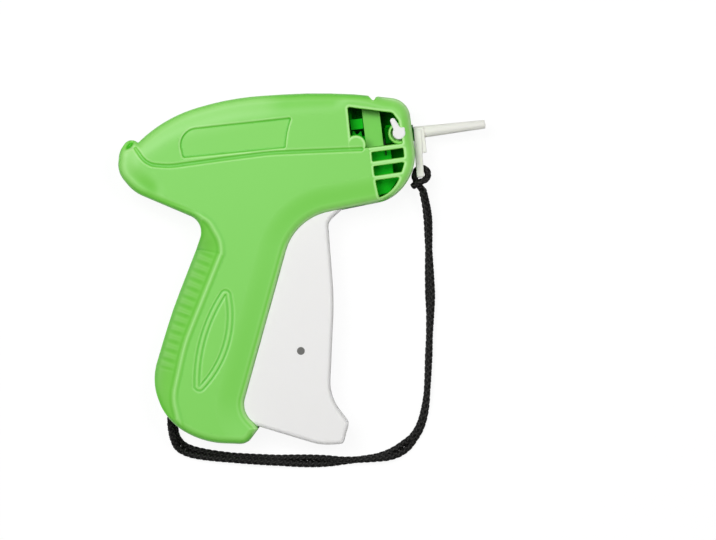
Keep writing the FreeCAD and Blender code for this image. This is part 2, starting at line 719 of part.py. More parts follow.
def needle_lock_knob():
    """Round head with a pointed lever; its stem bears on the needle's block."""
    top = thickness
    tail_low = ring_top_z + side_gap
    tip = Vector(*knob_tail_tip, 0)
    tail = bar(Vector(knob_x, knob_y, 0), tip, knob_tail_root, knob_tail_end, tail_low, top)
    body = post(knob_x, knob_y, knob_head_radius, ring_floor_z + 2.2 + side_gap, top)
    lobe = bar(Vector(knob_x, knob_y, 0), Vector(*knob_lobe_tip, 0), knob_lobe_root,
               knob_lobe_end, tail_low, top)
    stem = post(knob_x, knob_y, knob_stem_radius, middle + hub_width / 2 + side_gap, top)
    body = body.fuse([tail, lobe, stem]).removeSplitter()
    rims = [e for e in body.Edges if e.BoundBox.ZMin > top - 0.01]
    return body.makeFillet(0.5, rims)


def needle_cover():
    """Tapered tube over the needle with a flat strap that holds the cord."""
    back = nose_x + 0.4 + cover_gap
    length = cover_tip_x - back
    outside = Part.makeCone(cover_root_radius, cover_tip_radius, length,
                            Vector(back, needle_y, middle), Vector(1, 0, 0))
    tip = [e for e in outside.Edges if e.BoundBox.XMin > cover_tip_x - 0.01]
    outside = outside.makeFillet(0.6, tip)
    foot = strap_foot_y
    head_y = needle_y + cover_root_radius
    flange = block(back, back + tab_reach, needle_y - 4, head_y - 0.6, middle - 3.0, middle + 3.0)
    tab = block(back, back + tab_reach, tab_foot_y, needle_y, middle - 1.0, middle + 1.0)
    strap = block(back + 0.2, back + 0.2 + strap_thick, foot, needle_y,
                  middle - strap_width / 2, middle + strap_width / 2)
    strap = strap.makeFillet(strap_width / 2 - 0.6, [
        e for e in strap.Edges if e.BoundBox.XLength > 1 and e.BoundBox.YMax < foot + 0.1])
    body = outside.fuse([flange, tab, strap])
    eye_y = foot + eye_rim + eye_radius
    return body.cut([rod(back - 1, back + spigot_length + 0.3, needle_y, middle,
                         spigot_radius + pin_clearance),
                     rod(back, cover_tip_x - 1.6, needle_y, middle, cover_bore),
                     rod(back - 1, back + tab_reach + 1, eye_y, middle, eye_radius)])


# ------------------------------------------------------------------ feed works

def polar(centre_x, centre_y, radius, degrees):
    angle = math.radians(degrees)
    return (centre_x + radius * math.cos(angle), centre_y + radius * math.sin(angle))


def feed_wheel():
    """Star wheel whose teeth draw the clip down, one pitch for each stroke."""
    points = []
    pitch = 360 / wheel_teeth
    for k in range(wheel_teeth):
        gap = wheel_gap_angle + k * pitch
        points += [polar(wheel_x, wheel_y, wheel_root, gap - pitch / 6),
                   polar(wheel_x, wheel_y, wheel_root, gap + pitch / 6),
                   polar(wheel_x, wheel_y, wheel_radius, gap + pitch * 0.43),
                   polar(wheel_x, wheel_y, wheel_radius, gap + pitch * 0.57)]
    body = prism(points, wheel_low_z, wheel_low_z + wheel_thick)
    return body.cut(post(wheel_x, wheel_y, axle_radius + pin_clearance, 0, thickness))


def feed_pawl():
    """Bent arm on its own pin; its finger stands between two teeth of the wheel."""
    low = wheel_low_z
    high = wheel_low_z + wheel_thick
    pivot = Vector(pawl_x, pawl_y, 0)
    knee = Vector(*pawl_knee, 0)
    tip = Vector(*polar(wheel_x, wheel_y, wheel_root + 0.55 + pawl_finger, wheel_gap_angle), 0)
    body = bar(pivot, knee, 2.2, 1.0, low, high)
    body = body.fuse(bar(knee, tip, 1.0, pawl_finger, low, high))
    return body.cut(post(pawl_x, pawl_y, axle_radius + pin_clearance, 0, thickness))


def detent_spring():
    """Flat spring strip, clamped at its top, whose end rests between two teeth."""
    low = wheel_low_z
    return block(detent_x, detent_x + detent_thick, detent_tip_y, detent_top_y,
                 low, low + wheel_thick)


def clip_guide():
    """Upright channel that the clip of tags slides down in, open to the left."""
    inner_z = guide_near_z - guide_wall
    near = block(guide_back_x, guide_front_x, guide_foot_y, guide_top_y, inner_z, guide_near_z)
    above_wheel = wheel_y + wheel_radius + side_gap + 0.4
    rear_top = block(guide_back_x, guide_back_x + guide_wall, above_wheel, guide_top_y,
                     wall, inner_z)
    rear_low = block(guide_back_x, guide_back_x + guide_wall, guide_foot_y, above_wheel,
                     wheel_low_z + wheel_thick + side_gap, inner_z)
    front = block(guide_front_x - guide_wall, guide_front_x, guide_foot_y, guide_top_y,
                  wall, inner_z)
    body = near.fuse([rear_top, rear_low, front])
    return body.cut(rod(guide_back_x - 1, guide_front_x + 1, needle_y, middle,
                        needle_bore + 0.15))


# ------------------------------------------------------------------------ cord


def lanyard_cord():
    tube = cord_tube(cord_points, cord_radius)
    line, bends = cord_line(cord_points)
    print("cord radii", ", ".join("%.1f" % bend for bend in bends))
    print("cord length %.1f, volume over section times length %.4f" % (
        line.Length, tube.Volume / (math.pi * cord_radius ** 2 * line.Length)))
    return tube


def lanyard_knot():
    """Loop through the strap's eye and the knot that closes it."""
    loop = Part.makeTorus(loop_radius, loop_cord_radius, Vector(*loop_centre), Vector(0, 0, 1))
    knot = Part.makeSphere(knot_radius, Vector(*knot_centre))
    end = Vector(*cord_points[-1])
    back = (Vector(*cord_points[-2]) - end).normalize()
    return loop.fuse(knot).cut(Part.makeCylinder(20, 20, end, back))


def lanyard_anchor():
    """Knot inside the handle that keeps the cord from pulling out."""
    start = Vector(*cord_points[0])
    along = (Vector(*cord_points[1]) - start).normalize()
    centre = start - along * anchor_radius * 0.8
    knot = Part.makeSphere(anchor_radius, centre)
    beyond = Part.makeCylinder(20, 20, start, along)
    return knot.cut(beyond)


axle_top = wheel_low_z + wheel_thick + 0.2
save("housing_right", housing_right())
save("housing_left", housing_left())
save("trigger", trigger())
save("trigger_pivot_pin", post(0, 0, trigger_pin_radius, 1, thickness - 1))
save("link_pin", post(link_pin.x, link_pin.y, link_pin_radius, trigger_low - 0.1,
                      trigger_high + 0.1))
save("trigger_link", link())
save("lever_link_pin", post(lever_foot.x, lever_foot.y, joint_pin_radius,
                            middle - prong_outer - 0.3, middle + prong_outer + 0.3))
save("drive_lever", lever())
save("lever_pivot_pin", post(lever_pivot.x, lever_pivot.y, lever_pin_radius, wall + 1.5,
                             inner_face - 1.5))
save("return_spring", return_spring())
save("slide", slide())
save("slide_drive_pin", post(drive_x, needle_y, drive_pin_radius, middle - slide_width / 2,
                             middle + slide_width / 2))
save("ejector_rod", ejector_rod())
save("needle_hub", needle_hub())
save("needle", needle())
save("knife_blade", knife_blade())
save("needle_lock_knob", needle_lock_knob())
save("needle_cover", needle_cover())
save("feed_wheel", feed_wheel())
save("feed_wheel_axle", post(wheel_x, wheel_y, axle_radius, wall + 2, axle_top))
save("feed_pawl", feed_pawl())
save("feed_pawl_pin", post(pawl_x, pawl_y, axle_radius, wall + 2, axle_top))
save("detent_spring", detent_spring())
save("clip_guide", clip_guide())
save("lanyard_cord", lanyard_cord())
save("lanyard_knot", lanyard_knot())
save("lanyard_anchor", lanyard_anchor())
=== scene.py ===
# %% [markdown]
# # A garment tag attacher, dressed for its picture
# The tool lies on its left side on a pale table. Its frame, with every solid and
# every joint, is loaded first and never changed. Each later cell makes one piece
# or one finish: a short text says what the piece is on the real tool, how it
# could be made, and why one way was chosen. The tool's sizes are written in
# millimetres, because such a tool is drawn in them, and turned to metres when
# the mesh is made. The table and the lamps are set out in metres.

import math

import bpy
import numpy as np
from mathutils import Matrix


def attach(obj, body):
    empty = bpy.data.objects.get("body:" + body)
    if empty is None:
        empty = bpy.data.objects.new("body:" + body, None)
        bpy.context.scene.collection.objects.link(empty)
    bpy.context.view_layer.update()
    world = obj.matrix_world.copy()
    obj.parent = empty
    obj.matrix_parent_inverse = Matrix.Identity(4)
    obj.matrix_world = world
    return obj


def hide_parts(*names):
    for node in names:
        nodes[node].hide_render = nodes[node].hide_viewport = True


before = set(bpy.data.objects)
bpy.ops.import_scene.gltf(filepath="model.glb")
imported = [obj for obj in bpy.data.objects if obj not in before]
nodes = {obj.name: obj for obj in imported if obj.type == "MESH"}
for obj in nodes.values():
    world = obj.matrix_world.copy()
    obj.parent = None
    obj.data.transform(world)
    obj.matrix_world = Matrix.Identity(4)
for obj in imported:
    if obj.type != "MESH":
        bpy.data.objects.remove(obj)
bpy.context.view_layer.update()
MM = 0.001

# %% [markdown]
# ## Camera, table and light
# A tool like this is drawn from straight above, so the camera looks down along
# Z. It is turned a little about Z, which tips the needle upwards in the frame.
# A long lens far away keeps the side face flat, where a wide one close by would
# show its walls. The table is a white plane with a glow of its own, which only
# the camera sees, straight, in a gloss or through something clear: the table
# looks clean, and no extra light falls on the tool. One large lamp above gives
# the form, and a weaker one from the other side lifts the shadows. The sky is
# bright overhead and dim at the horizon, as in a box with a white lid: flat
# faces come out even, and slopes and deep places fall away softly.

# %% Camera
VIEW_TURN = -7.0
VIEW_CENTRE = (-1.54, -33.89, 24.0)
VIEW_DISTANCE = 1724.7
LENS = 200.0
SENSOR_WIDTH = 36.0

camera_data = bpy.data.cameras.new("camera")
camera_data.lens = LENS
camera_data.sensor_width = SENSOR_WIDTH
camera_data.clip_end = 20.0
camera = bpy.data.objects.new("camera", camera_data)
bpy.context.scene.collection.objects.link(camera)
camera.location = (VIEW_CENTRE[0] * MM, VIEW_CENTRE[1] * MM,
                   (VIEW_CENTRE[2] + VIEW_DISTANCE) * MM)
camera.rotation_euler = (0.0, 0.0, math.radians(VIEW_TURN))
bpy.context.scene.camera = camera
bpy.context.scene.view_settings.view_transform = "Standard"
print("camera looks down from", VIEW_DISTANCE, "mm")


# %% Helpers for materials
def node_tree(name):
    """A new material with its Principled shader, its output and its node list."""
    material = bpy.data.materials.new(name)
    material.use_nodes = True
    tree = material.node_tree
    return material, tree.nodes["Principled BSDF"], tree


def set_inputs(node, **values):
    """Values for a node's named inputs; an underscore stands for a space."""
    for key, value in values.items():
        node.inputs[key.replace("_", " ")].default_value = value


def add(tree, kind, **settings):
    """One node of a kind; each setting is one of its attributes, or else a named input."""
    node = tree.nodes.new(kind)
    for key, value in settings.items():
        if hasattr(node, key):
            setattr(node, key, value)
        else:
            set_inputs(node, **{key: value})
    return node


# %% Table, lamps and sky
TABLE_REACH = 3.0
TABLE_WHITE = 0.93
TABLE_GLOW = 1.03
TABLE_GLOW_SHARE = 0.89
LAMP_AIM = (-0.03, -0.03, 0.0)
SKY_HORIZON = 0.05
SKY_OVERHEAD = 1.24


def table_finish():
    """White, with a share of plain glow where the greatest of three flags is 1.

    The flags are for rays straight to the camera, off a gloss and through clear things.
    """
    material, shader, tree = node_tree("white table")
    set_inputs(shader, Base_Color=(TABLE_WHITE, TABLE_WHITE, TABLE_WHITE, 1), Roughness=0.9,
               Specular_IOR_Level=0.1)
    glow = add(tree, "ShaderNodeEmission", Color=(1, 1, 1, 1), Strength=TABLE_GLOW)
    path = add(tree, "ShaderNodeLightPath")
    share = add(tree, "ShaderNodeMath", operation="MULTIPLY")
    share.inputs[1].default_value = TABLE_GLOW_SHARE
    mix = add(tree, "ShaderNodeMixShader")
    seen_by = path.outputs["Is Camera Ray"]
    for other in ("Is Glossy Ray", "Is Transmission Ray"):
        either = add(tree, "ShaderNodeMath", operation="MAXIMUM")
        tree.links.new(seen_by, either.inputs[0])
        tree.links.new(path.outputs[other], either.inputs[1])
        seen_by = either.outputs[0]
    tree.links.new(seen_by, share.inputs[0])
    tree.links.new(share.outputs[0], mix.inputs[0])
    tree.links.new(shader.outputs[0], mix.inputs[1])
    tree.links.new(glow.outputs[0], mix.inputs[2])
    tree.links.new(mix.outputs[0], tree.nodes["Material Output"].inputs[0])
    return material


def lamp(name, place, size, power):
    """A square lamp that faces a point of the tool.

    It shines along -Z, so it is tipped by the angle whose tangent is its level distance
    over its height, and then turned to the side that it stands on.
    """
    data = bpy.data.lights.new(name, "AREA")
    data.size = size
    data.energy = power
    light = bpy.data.objects.new(name, data)
    bpy.context.scene.collection.objects.link(light)
    away = np.array(place) - np.array(LAMP_AIM)
    light.location = place
    flat = math.hypot(away[0], away[1])
    light.rotation_euler = (math.atan2(flat, away[2]), 0.0,
                            math.atan2(away[1], away[0]) + math.pi / 2)


table_mesh = bpy.data.meshes.new("table")
table_mesh.from_pydata([(-TABLE_REACH, -TABLE_REACH, 0), (TABLE_REACH, -TABLE_REACH, 0),
                        (TABLE_REACH, TABLE_REACH, 0), (-TABLE_REACH, TABLE_REACH, 0)],
                       [], [(0, 1, 2, 3)])
table = bpy.data.objects.new("table", table_mesh)
bpy.context.scene.collection.objects.link(table)
table.data.materials.append(table_finish())

lamp("key_lamp", place=(-0.36, 0.36, 1.45), size=0.7, power=16.9)
lamp("front_lamp", place=(0.45, 0.15, 1.35), size=0.35, power=5.2)
world = bpy.data.worlds.new("studio")
world.use_nodes = True
sky = world.node_tree
way = add(sky, "ShaderNodeTexCoord")
height_of = add(sky, "ShaderNodeSeparateXYZ")
sky_share = add(sky, "ShaderNodeMapRange", To_Min=SKY_HORIZON, To_Max=SKY_OVERHEAD)
sky.links.new(way.outputs["Generated"], height_of.inputs[0])
sky.links.new(height_of.outputs["Z"], sky_share.inputs["Value"])
sky.links.new(sky_share.outputs["Result"], sky.nodes["Background"].inputs["Strength"])
bpy.context.scene.world = world
print("table, two lamps and sky")

# %% [markdown]
# ## The wrist cord: one route, two woven strands
# The wrist cord is a loop, so two thin strands leave the heel of the handle side
# by side. They come down to the table, lie along it under the trigger and climb
# to the strap of the needle's cover, and on the way they turn round each other:
# flat on the table they look broad, and one above the other they look thin. The
# route is one smooth curve held by a few points, as a draughtsman would set out
# a rope with pins, and each point also says how far the pair has turned. The
# braid could be a picture or a bump, but up close a real braid changes the
# cord's outline, so the surface itself is woven: two sets of yarns wind round
# the line in opposite turns and take turns on top.

# %% Route of the cord, and its loop
STRAND_RADIUS = 1.5
STRAND_ASIDE = 0.94  # share of the strand's radius that it lies off the middle
LOOP_RADIUS = 1.5
LINE_FINENESS = 24
# Each pin is x, y, z and the degrees that the pair has turned there.
CORD_POINTS = [(-85.7, -80.2, 13.5, 0), (-88.4, -84.6, 13.5, 20), (-89.9, -89.4, 12.0, 45),
               (-90.3, -93.3, 9.2, 55), (-90.1, -97.3, 5.8, 50), (-88.6, -101.2, 3.2, 15),
               (-84.2, -104.2, 1.9, 24), (-76.6, -106.6, 2.1, 42), (-66.3, -109.0, 2.4, 55),
               (-53.4, -111.4, 2.3, 47), (-45.5, -112.7, 2.2, 44), (-32.5, -114.6, 1.4, 0),
               (-24.6, -115.5, 2.1, -38), (-19.4, -116.1, 2.5, -69), (-11.4, -116.5, 2.6, -90),
               (-3.5, -116.7, 2.6, -106), (2.4, -116.2, 2.2, -137), (7.9, -114.4, 1.5, -172),
               (13.4, -110.4, 2.4, -235), (17.5, -105.3, 2.5, -246), (20.4, -97.8, 2.6, -255),
               (22.2, -90.1, 2.7, -270), (24.8, -74.5, 2.6, -279), (26.0, -66.7, 2.7, -272),
               (27.7, -56.3, 2.6, -285), (28.6, -48.4, 2.4, -304), (29.4, -39.1, 2.5, -294),
               (30.4, -28.6, 2.7, -275), (31.0, -22.4, 3.6, -285), (31.7, -14.6, 6.6, -291),
               (31.4, -7.6, 10.6, -283), (30.6, -1.8, 12.8, -280)]
LOOP_POINTS = [(26.2, -0.9, 14.9), (27.8, 0.1, 15.4), (30.2, 0.9, 15.9), (32.8, 1.6, 15.2),
               (34.1, 3.8, 13.8), (33.2, 6.5, 13.4), (30.9, 6.9, 13.5), (28.6, 6.0, 13.5),
               (27.8, 3.4, 13.2), (28.6, 0.4, 12.4), (30.4, -2.2, 12.8)]


# %% Smooth lines, and directions along them
def smooth_line(points):
    """The points of one smooth curve that a chain of points pulls towards itself.

    The curve is a NURBS spline of order 3, so each stretch is a piece of parabola,
    and it starts and ends on the first and last point.
    """
    data = bpy.data.curves.new("line", "CURVE")
    data.dimensions = "3D"
    spline = data.splines.new("NURBS")
    spline.points.add(len(points) - 1)
    for point, place in zip(spline.points, points):
        point.co = (*place, 1.0)
    spline.order_u = 3
    spline.use_endpoint_u = True
    spline.resolution_u = LINE_FINENESS
    holder = bpy.data.objects.new("line", data)
    bpy.context.scene.collection.objects.link(holder)
    mesh = bpy.data.meshes.new_from_object(holder)
    line = np.zeros(len(mesh.vertices) * 3)
    mesh.vertices.foreach_get("co", line)
    bpy.data.objects.remove(holder)
    bpy.data.curves.remove(data)
    bpy.data.meshes.remove(mesh)
    return line.reshape(-1, 3)


def evenly(line, spacing):
    """The same line with points at equal steps of its own length, and those lengths."""
    steps = np.linalg.norm(np.diff(line, axis=0), axis=1)
    run = np.concatenate([[0.0], np.cumsum(steps)])
    count = max(int(round(run[-1] / spacing)), 2)
    at = np.linspace(0.0, run[-1], count + 1)
    return np.stack([np.interp(at, run, line[:, k]) for k in range(3)], axis=1), at


def frames_along(line):
    """Two unit vectors square to the line at each of its points.

    The first is turned as little as possible from point to point: what is left of the
    last one, once its share along the new direction is taken away.
    """
    ahead = np.gradient(line, axis=0)
    ahead /= np.linalg.norm(ahead, axis=1)[:, None]
    across = np.zeros_like(line)
    start = np.cross(ahead[0], (0.0, 0.0, 1.0))
    across[0] = start / np.linalg.norm(start)
    for k in range(1, len(line)):
        turned = across[k - 1] - ahead[k] * (across[k - 1] @ ahead[k])
        across[k] = turned / np.linalg.norm(turned)
    return across, np.cross(ahead, across)


# %% From points to a piece
def grid_faces(rows, columns, closed):
    """Faces of a grid of rows by columns points; closed joins the last column to the first."""
    last = columns if closed else columns - 1
    r, c = np.meshgrid(np.arange(rows - 1), np.arange(last), indexing="ij")
    d = (c + 1) % columns
    return np.stack([r * columns + c, r * columns + d, (r + 1) * columns + d,
                     (r + 1) * columns + c], axis=-1).reshape(-1, 4)


def make_piece(name, points, faces, finish, body=None, smooth=50.0):
    """A mesh from points in millimetres and faces, with one finish, riding on a body."""
    mesh = bpy.data.meshes.new(name)
    mesh.from_pydata((np.asarray(points) * MM).tolist(), [],
                     [list(map(int, face)) for face in faces])
    mesh.update()
    mesh.shade_smooth()
    mesh.set_sharp_from_angle(angle=math.radians(smooth))
    mesh.materials.append(finish)
    piece = bpy.data.objects.new(name, mesh)
    bpy.context.scene.collection.objects.link(piece)
    if body:
        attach(piece, body)
    print(name, len(mesh.vertices), "points", len(mesh.polygons), "faces")
    return piece


# %% The weave
YARN_BELOW = 0.55  # height left to the yarn that passes below


def braid_height(turn, along, strands, pitch):
    """How far the braid stands out, from 0 to 1.

    Each family of yarns is a row of half-round ridges, one minus the square of the
    distance from its nearest ridge. One family climbs with the turn and the other
    falls; whose turn it is on top changes from crossing to crossing.
    """
    rise = strands * turn + along / pitch
    fall = strands * turn - along / pitch
    first = 1 - (2 * (rise - np.floor(rise)) - 1) ** 2
    second = 1 - (2 * (fall - np.floor(fall)) - 1) ** 2
    first_on_top = (np.floor(rise) + np.floor(fall)) % 2 == 0
    return np.where(first_on_top, np.maximum(first, YARN_BELOW * second),
                    np.maximum(second, YARN_BELOW * first))


def woven_tube(line, radius, strands=4, pitch=2.8, around=32, spacing=0.25, relief=0.45):
    """Points, faces and braid heights of a tube of circles whose radius follows the braid.

    A point lies off the line by the radius less the relief times one minus the braid's
    height, along cos(angle) times one vector square to the line plus sin(angle) times
    the other. The two end circles are drawn in and closed to the line's ends.
    """
    path, along = evenly(line, spacing)
    across, up = frames_along(path)
    turn = np.arange(around) / around
    height = braid_height(turn[None, :], along[:, None], strands, pitch)
    reach = radius - relief * (1 - height)
    reach[0] *= 0.6
    reach[-1] *= 0.6
    angle = 2 * math.pi * turn
    ring = (np.cos(angle)[None, :, None] * across[:, None, :]
            + np.sin(angle)[None, :, None] * up[:, None, :])
    points = path[:, None, :] + reach[:, :, None] * ring
    rows = len(path)
    faces = grid_faces(rows, around, True).tolist()
    points = np.vstack([points.reshape(-1, 3), path[:1], path[-1:]])
    here = np.arange(around)
    after = (here + 1) % around
    first_cap = np.stack([after, here, np.full(around, rows * around)], axis=1)
    base = (rows - 1) * around
    last_cap = np.stack([base + here, base + after,
                         np.full(around, rows * around + 1)], axis=1)
    marks = np.concatenate([height.reshape(-1), [0.0, 0.0]])
    return points, faces + first_cap.tolist() + last_cap.tolist(), marks


def joined(parts):
    """Several (points, faces, marks) as one; each part's faces are moved past the last's."""
    points, faces, marks, passed = [], [], [], 0
    for some_points, some_faces, some_marks in parts:
        points.append(some_points)
        marks.append(some_marks)
        faces += [[corner + passed for corner in face] for face in some_faces]
        passed += len(some_points)
    return np.vstack(points), faces, np.concatenate(marks)


def store_marks(piece, marks):
    """One number for each point of a piece, for its finish to read."""
    layer = piece.data.attributes.new("edge", "FLOAT", "POINT")
    layer.data.foreach_set("value", marks)


def pair_of_strands(points, radius):
    """The middle line of a doubled cord and its two strands.

    The strands lie nearly a radius to either side of the middle line, along cos(turn)
    times the level direction plus sin(turn) times the one square to it. The middle of
    a strand is never lower than its radius, so it lies on the table.
    """
    points = np.array(points)
    line, along = evenly(smooth_line(points[:, :3].tolist()), 0.3)
    at = [along[np.argmin(np.linalg.norm(line - place, axis=1))] for place in points[:, :3]]
    turn = np.radians(np.interp(along, at, points[:, 3]))
    ahead = np.gradient(line, axis=0)
    ahead /= np.linalg.norm(ahead, axis=1)[:, None]
    level = np.cross(ahead, (0.0, 0.0, 1.0))
    level /= np.linalg.norm(level, axis=1)[:, None]
    square = np.cross(level, ahead)
    aside = STRAND_ASIDE * radius * (np.cos(turn)[:, None] * level
                                     + np.sin(turn)[:, None] * square)
    strands = [line + aside, line - aside]
    for strand in strands:
        strand[:, 2] = np.maximum(strand[:, 2], radius)
    return line, *strands


# %% [markdown]
# ## Finishes
# Moulded plastic isn't one flat colour. It has a fine grain from the mould, a
# faint change of shade where the melt flowed, and a gloss that varies with the
# grain. All three come from noise that is fixed to the piece, so nothing slides
# when the view changes. Pictures could hold all this, but noise stays fine up
# close and needs no unwrapping.

# %% Plastic, cord and steel
# gains of the painted shade in grooves and of the painted highlight on raised edges
SHADE_GAIN = 7.0
HIGHLIGHT_GAIN = 6.0


def add_noise(tree, scale, detail=3.0):
    """Noise on the piece's own coordinates, in waves per metre."""
    place = add(tree, "ShaderNodeTexCoord")
    noise = add(tree, "ShaderNodeTexNoise", Scale=scale, Detail=detail)
    tree.links.new(place.outputs["Object"], noise.inputs["Vector"])
    return noise


def blended(tree, share, first, second):
    """The output of a colour mix; each colour is an output or a fixed value."""
    mix = add(tree, "ShaderNodeMix", data_type="RGBA")
    tree.links.new(share, mix.inputs["Factor"])
    for socket, value in (("A", first), ("B", second)):
        if isinstance(value, tuple):
            mix.inputs[socket].default_value = value
        else:
            tree.links.new(value, mix.inputs[socket])
    return mix.outputs["Result"]


def moulded(name, colour, dark, rough, grain=2600.0, bump=0.02, soft=0.0, deep=None,
            highlight_colour=None, shade_inside=None, shine=0.35):
    """Moulded plastic: a colour that drifts towards a darker one, with a fine grain.

    Where a piece carries edge marks, grooves go towards the deep colour as painted shade
    and raised edges towards the highlight colour as painted highlight. Faces that look up
    from inside the half that lies below take the shade_inside colour, painted shade for
    how deep they lie.
    """
    material, shader, tree = node_tree(name)
    drift = add_noise(tree, 28.0)
    colour_now = blended(tree, drift.outputs["Fac"], (*colour, 1), (*dark, 1))
    # grooves painted towards the shade colour, raised edges towards the highlight colour
    if deep:
        painted_light = add(tree, "ShaderNodeAttribute", attribute_name="edge")
        for gain, other in ((-SHADE_GAIN, deep), (HIGHLIGHT_GAIN, highlight_colour)):
            share = add(tree, "ShaderNodeMath", operation="MULTIPLY", use_clamp=True)
            share.inputs[1].default_value = gain
            tree.links.new(painted_light.outputs["Fac"], share.inputs[0])
            colour_now = blended(tree, share.outputs[0], colour_now, (*other, 1))
    # faces that look up inside the lower half are painted dark green as shade
    if shade_inside:
        place = add(tree, "ShaderNodeTexCoord")
        facing = add(tree, "ShaderNodeSeparateXYZ")
        share = add(tree, "ShaderNodeMapRange", From_Min=0.2, From_Max=0.5)
        tree.links.new(place.outputs["Normal"], facing.inputs[0])
        tree.links.new(facing.outputs["Z"], share.inputs["Value"])
        colour_now = blended(tree, share.outputs["Result"], colour_now, (*shade_inside, 1))
    tree.links.new(colour_now, shader.inputs["Base Color"])
    set_inputs(shader, Specular_IOR_Level=shine)
    fine = add_noise(tree, grain, 2.0)
    gloss = add(tree, "ShaderNodeMapRange", To_Min=rough - 0.05, To_Max=rough + 0.07)
    tree.links.new(fine.outputs["Fac"], gloss.inputs["Value"])
    tree.links.new(gloss.outputs["Result"], shader.inputs["Roughness"])
    lift = add(tree, "ShaderNodeBump", Strength=bump, Distance=0.0002)
    tree.links.new(fine.outputs["Fac"], lift.inputs["Height"])
    tree.links.new(lift.outputs["Normal"], shader.inputs["Normal"])
    if soft:
        set_inputs(shader, Subsurface_Weight=soft, Subsurface_Radius=(1.0, 1.0, 0.9),
                   Subsurface_Scale=0.0015)
    return material


def braided_yarn():
    """Near-black polyester with a sheen; the tops of the strands painted a little lighter, as
    highlight.
    """
    material, shader, tree = node_tree("black braided yarn")
    fibre = add_noise(tree, 1800.0, 4.0)
    painted_light = add(tree, "ShaderNodeAttribute", attribute_name="edge")
    # painted highlight: the braid's highest points are coloured lighter
    top = add(tree, "ShaderNodeMapRange", From_Min=0.82, From_Max=1.0)
    tree.links.new(painted_light.outputs["Fac"], top.inputs["Value"])
    colour = blended(tree, fibre.outputs["Fac"], (0.001, 0.001, 0.001, 1),
                     (0.002, 0.002, 0.0018, 1))
    colour = blended(tree, top.outputs["Result"], colour, (0.028, 0.027, 0.024, 1))
    tree.links.new(colour, shader.inputs["Base Color"])
    set_inputs(shader, Roughness=0.62, Specular_IOR_Level=0.25)
    lift = add(tree, "ShaderNodeBump", Strength=0.35, Distance=0.0002)
    tree.links.new(fibre.outputs["Fac"], lift.inputs["Height"])
    tree.links.new(lift.outputs["Normal"], shader.inputs["Normal"])
    return material


def drawn_steel():
    """Bright steel with fine lines, as wire and pins have."""
    material, shader, tree = node_tree("bright steel")
    set_inputs(shader, Metallic=1.0, Base_Color=(0.56, 0.55, 0.53, 1))
    lines = add_noise(tree, 1500.0, 2.0)
    gloss = add(tree, "ShaderNodeMapRange", To_Min=0.2, To_Max=0.38)
    tree.links.new(lines.outputs["Fac"], gloss.inputs["Value"])
    tree.links.new(gloss.outputs["Result"], shader.inputs["Roughness"])
    return material


CASING_GREEN = (0.203, 0.67, 0.085)
CASING_GREEN_DARK = (0.188, 0.645, 0.073)
# the casing gets painted shade in its grooves and painted highlights on its raised edges
green = moulded("light green moulding", CASING_GREEN, CASING_GREEN_DARK, 0.40,
                deep=(0.07, 0.50, 0.02), highlight_colour=(0.43, 0.84, 0.28))
# the left half: light green, with painted shade on the faces that look up inside it
left_green = moulded("light green moulding, painted shade inside", CASING_GREEN, CASING_GREEN_DARK, 0.5,
                     shade_inside=(0.0005, 0.26, 0.002), shine=0.0)
# near-black green for the needle's hub: painted shade for where it lies deep in the window
hub_shade_green = moulded("green moulding painted dark as shade", (0.0005, 0.16, 0.002), (0.0005, 0.12, 0.002), 0.5,
                     shine=0.0)
bright_green = moulded("clip guide green", (0.17, 0.62, 0.075), (0.15, 0.58, 0.06), 0.5,
                       shine=0.3)
seat_green = moulded("seat green", (0.26, 0.72, 0.12), (0.24, 0.69, 0.11), 0.4)
deck_green = moulded("deck green", (0.001, 0.52, 0.006), (0.001, 0.46, 0.005), 0.5, shine=0.05)
# dark, matt steel for the link pin: painted shade for the hollow of the rivet and the gap
# round it
pin_shade_steel = moulded("steel painted dark as shade", (0.10, 0.10, 0.09), (0.05, 0.05, 0.045), 0.35, shine=0.6)
white = moulded("white moulding", (0.87, 0.865, 0.855), (0.85, 0.845, 0.835), 0.38, soft=0.1)
cover_white = moulded("cover polyethylene", (0.88, 0.88, 0.81), (0.85, 0.85, 0.78), 0.5,
                      soft=0.35)
natural = moulded("natural acetal", (0.72, 0.72, 0.68), (0.68, 0.68, 0.64), 0.45)
yarn = braided_yarn()
steel = drawn_steel()
blued = moulded("blued spring steel", (0.004, 0.03, 0.004), (0.003, 0.02, 0.003), 0.5,
                shine=0.08)
print("finishes made")

# %% [markdown]
# ## Laying the cord
# Among the solids the cord is one tube, and at the strap it ends in a ring and a
# ball. The woven pieces take their places. The loop goes through the eye of the
# strap, so it rides on the cover, and the cord rides on the casing. A solver
# could drop the cord onto the table, but a set route stays the same every time.

# %% Cord on the table, and the loop that holds the strap
points, faces, marks = woven_tube(smooth_line(LOOP_POINTS), LOOP_RADIUS)
loop_piece = make_piece("strap_loop", points, faces, yarn, "cover")
# the braid's heights, which the yarn's finish turns into painted highlights on the strands'
# tops
store_marks(loop_piece, marks)
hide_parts("lanyard_knot")
cord_path, *strands = pair_of_strands(CORD_POINTS, STRAND_RADIUS)
points, faces, marks = joined(woven_tube(strand, STRAND_RADIUS) for strand in strands)
cord_piece = make_piece("wrist_cord", points, faces, yarn, "casing")
store_marks(cord_piece, marks)
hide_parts("lanyard_cord")

# %% [markdown]
# ## The right half of the casing
# This moulding is nearly all that one sees: a flat side, round edges, a ridge
# that turns into a ribbed back, a shallow panel, a moulded line, a leaf-shaped
# ring and a window with a grille. It could be cut from a block with dozens of
# booleans and bevels. It is quicker and smoother as a relief: for each point of
# a fine grid in X and Y, one function gives the height of the plastic. Every
# feature is then a function of the distance to one outline, so its lips are
# round at no extra cost. Grid points beside an outline are pulled onto it, and
# the walls hang from that edge as a profile carried along it.

# %% Outlines
THICKNESS = 27.0
MIDDLE = 13.5
NEEDLE_Y = 22.5
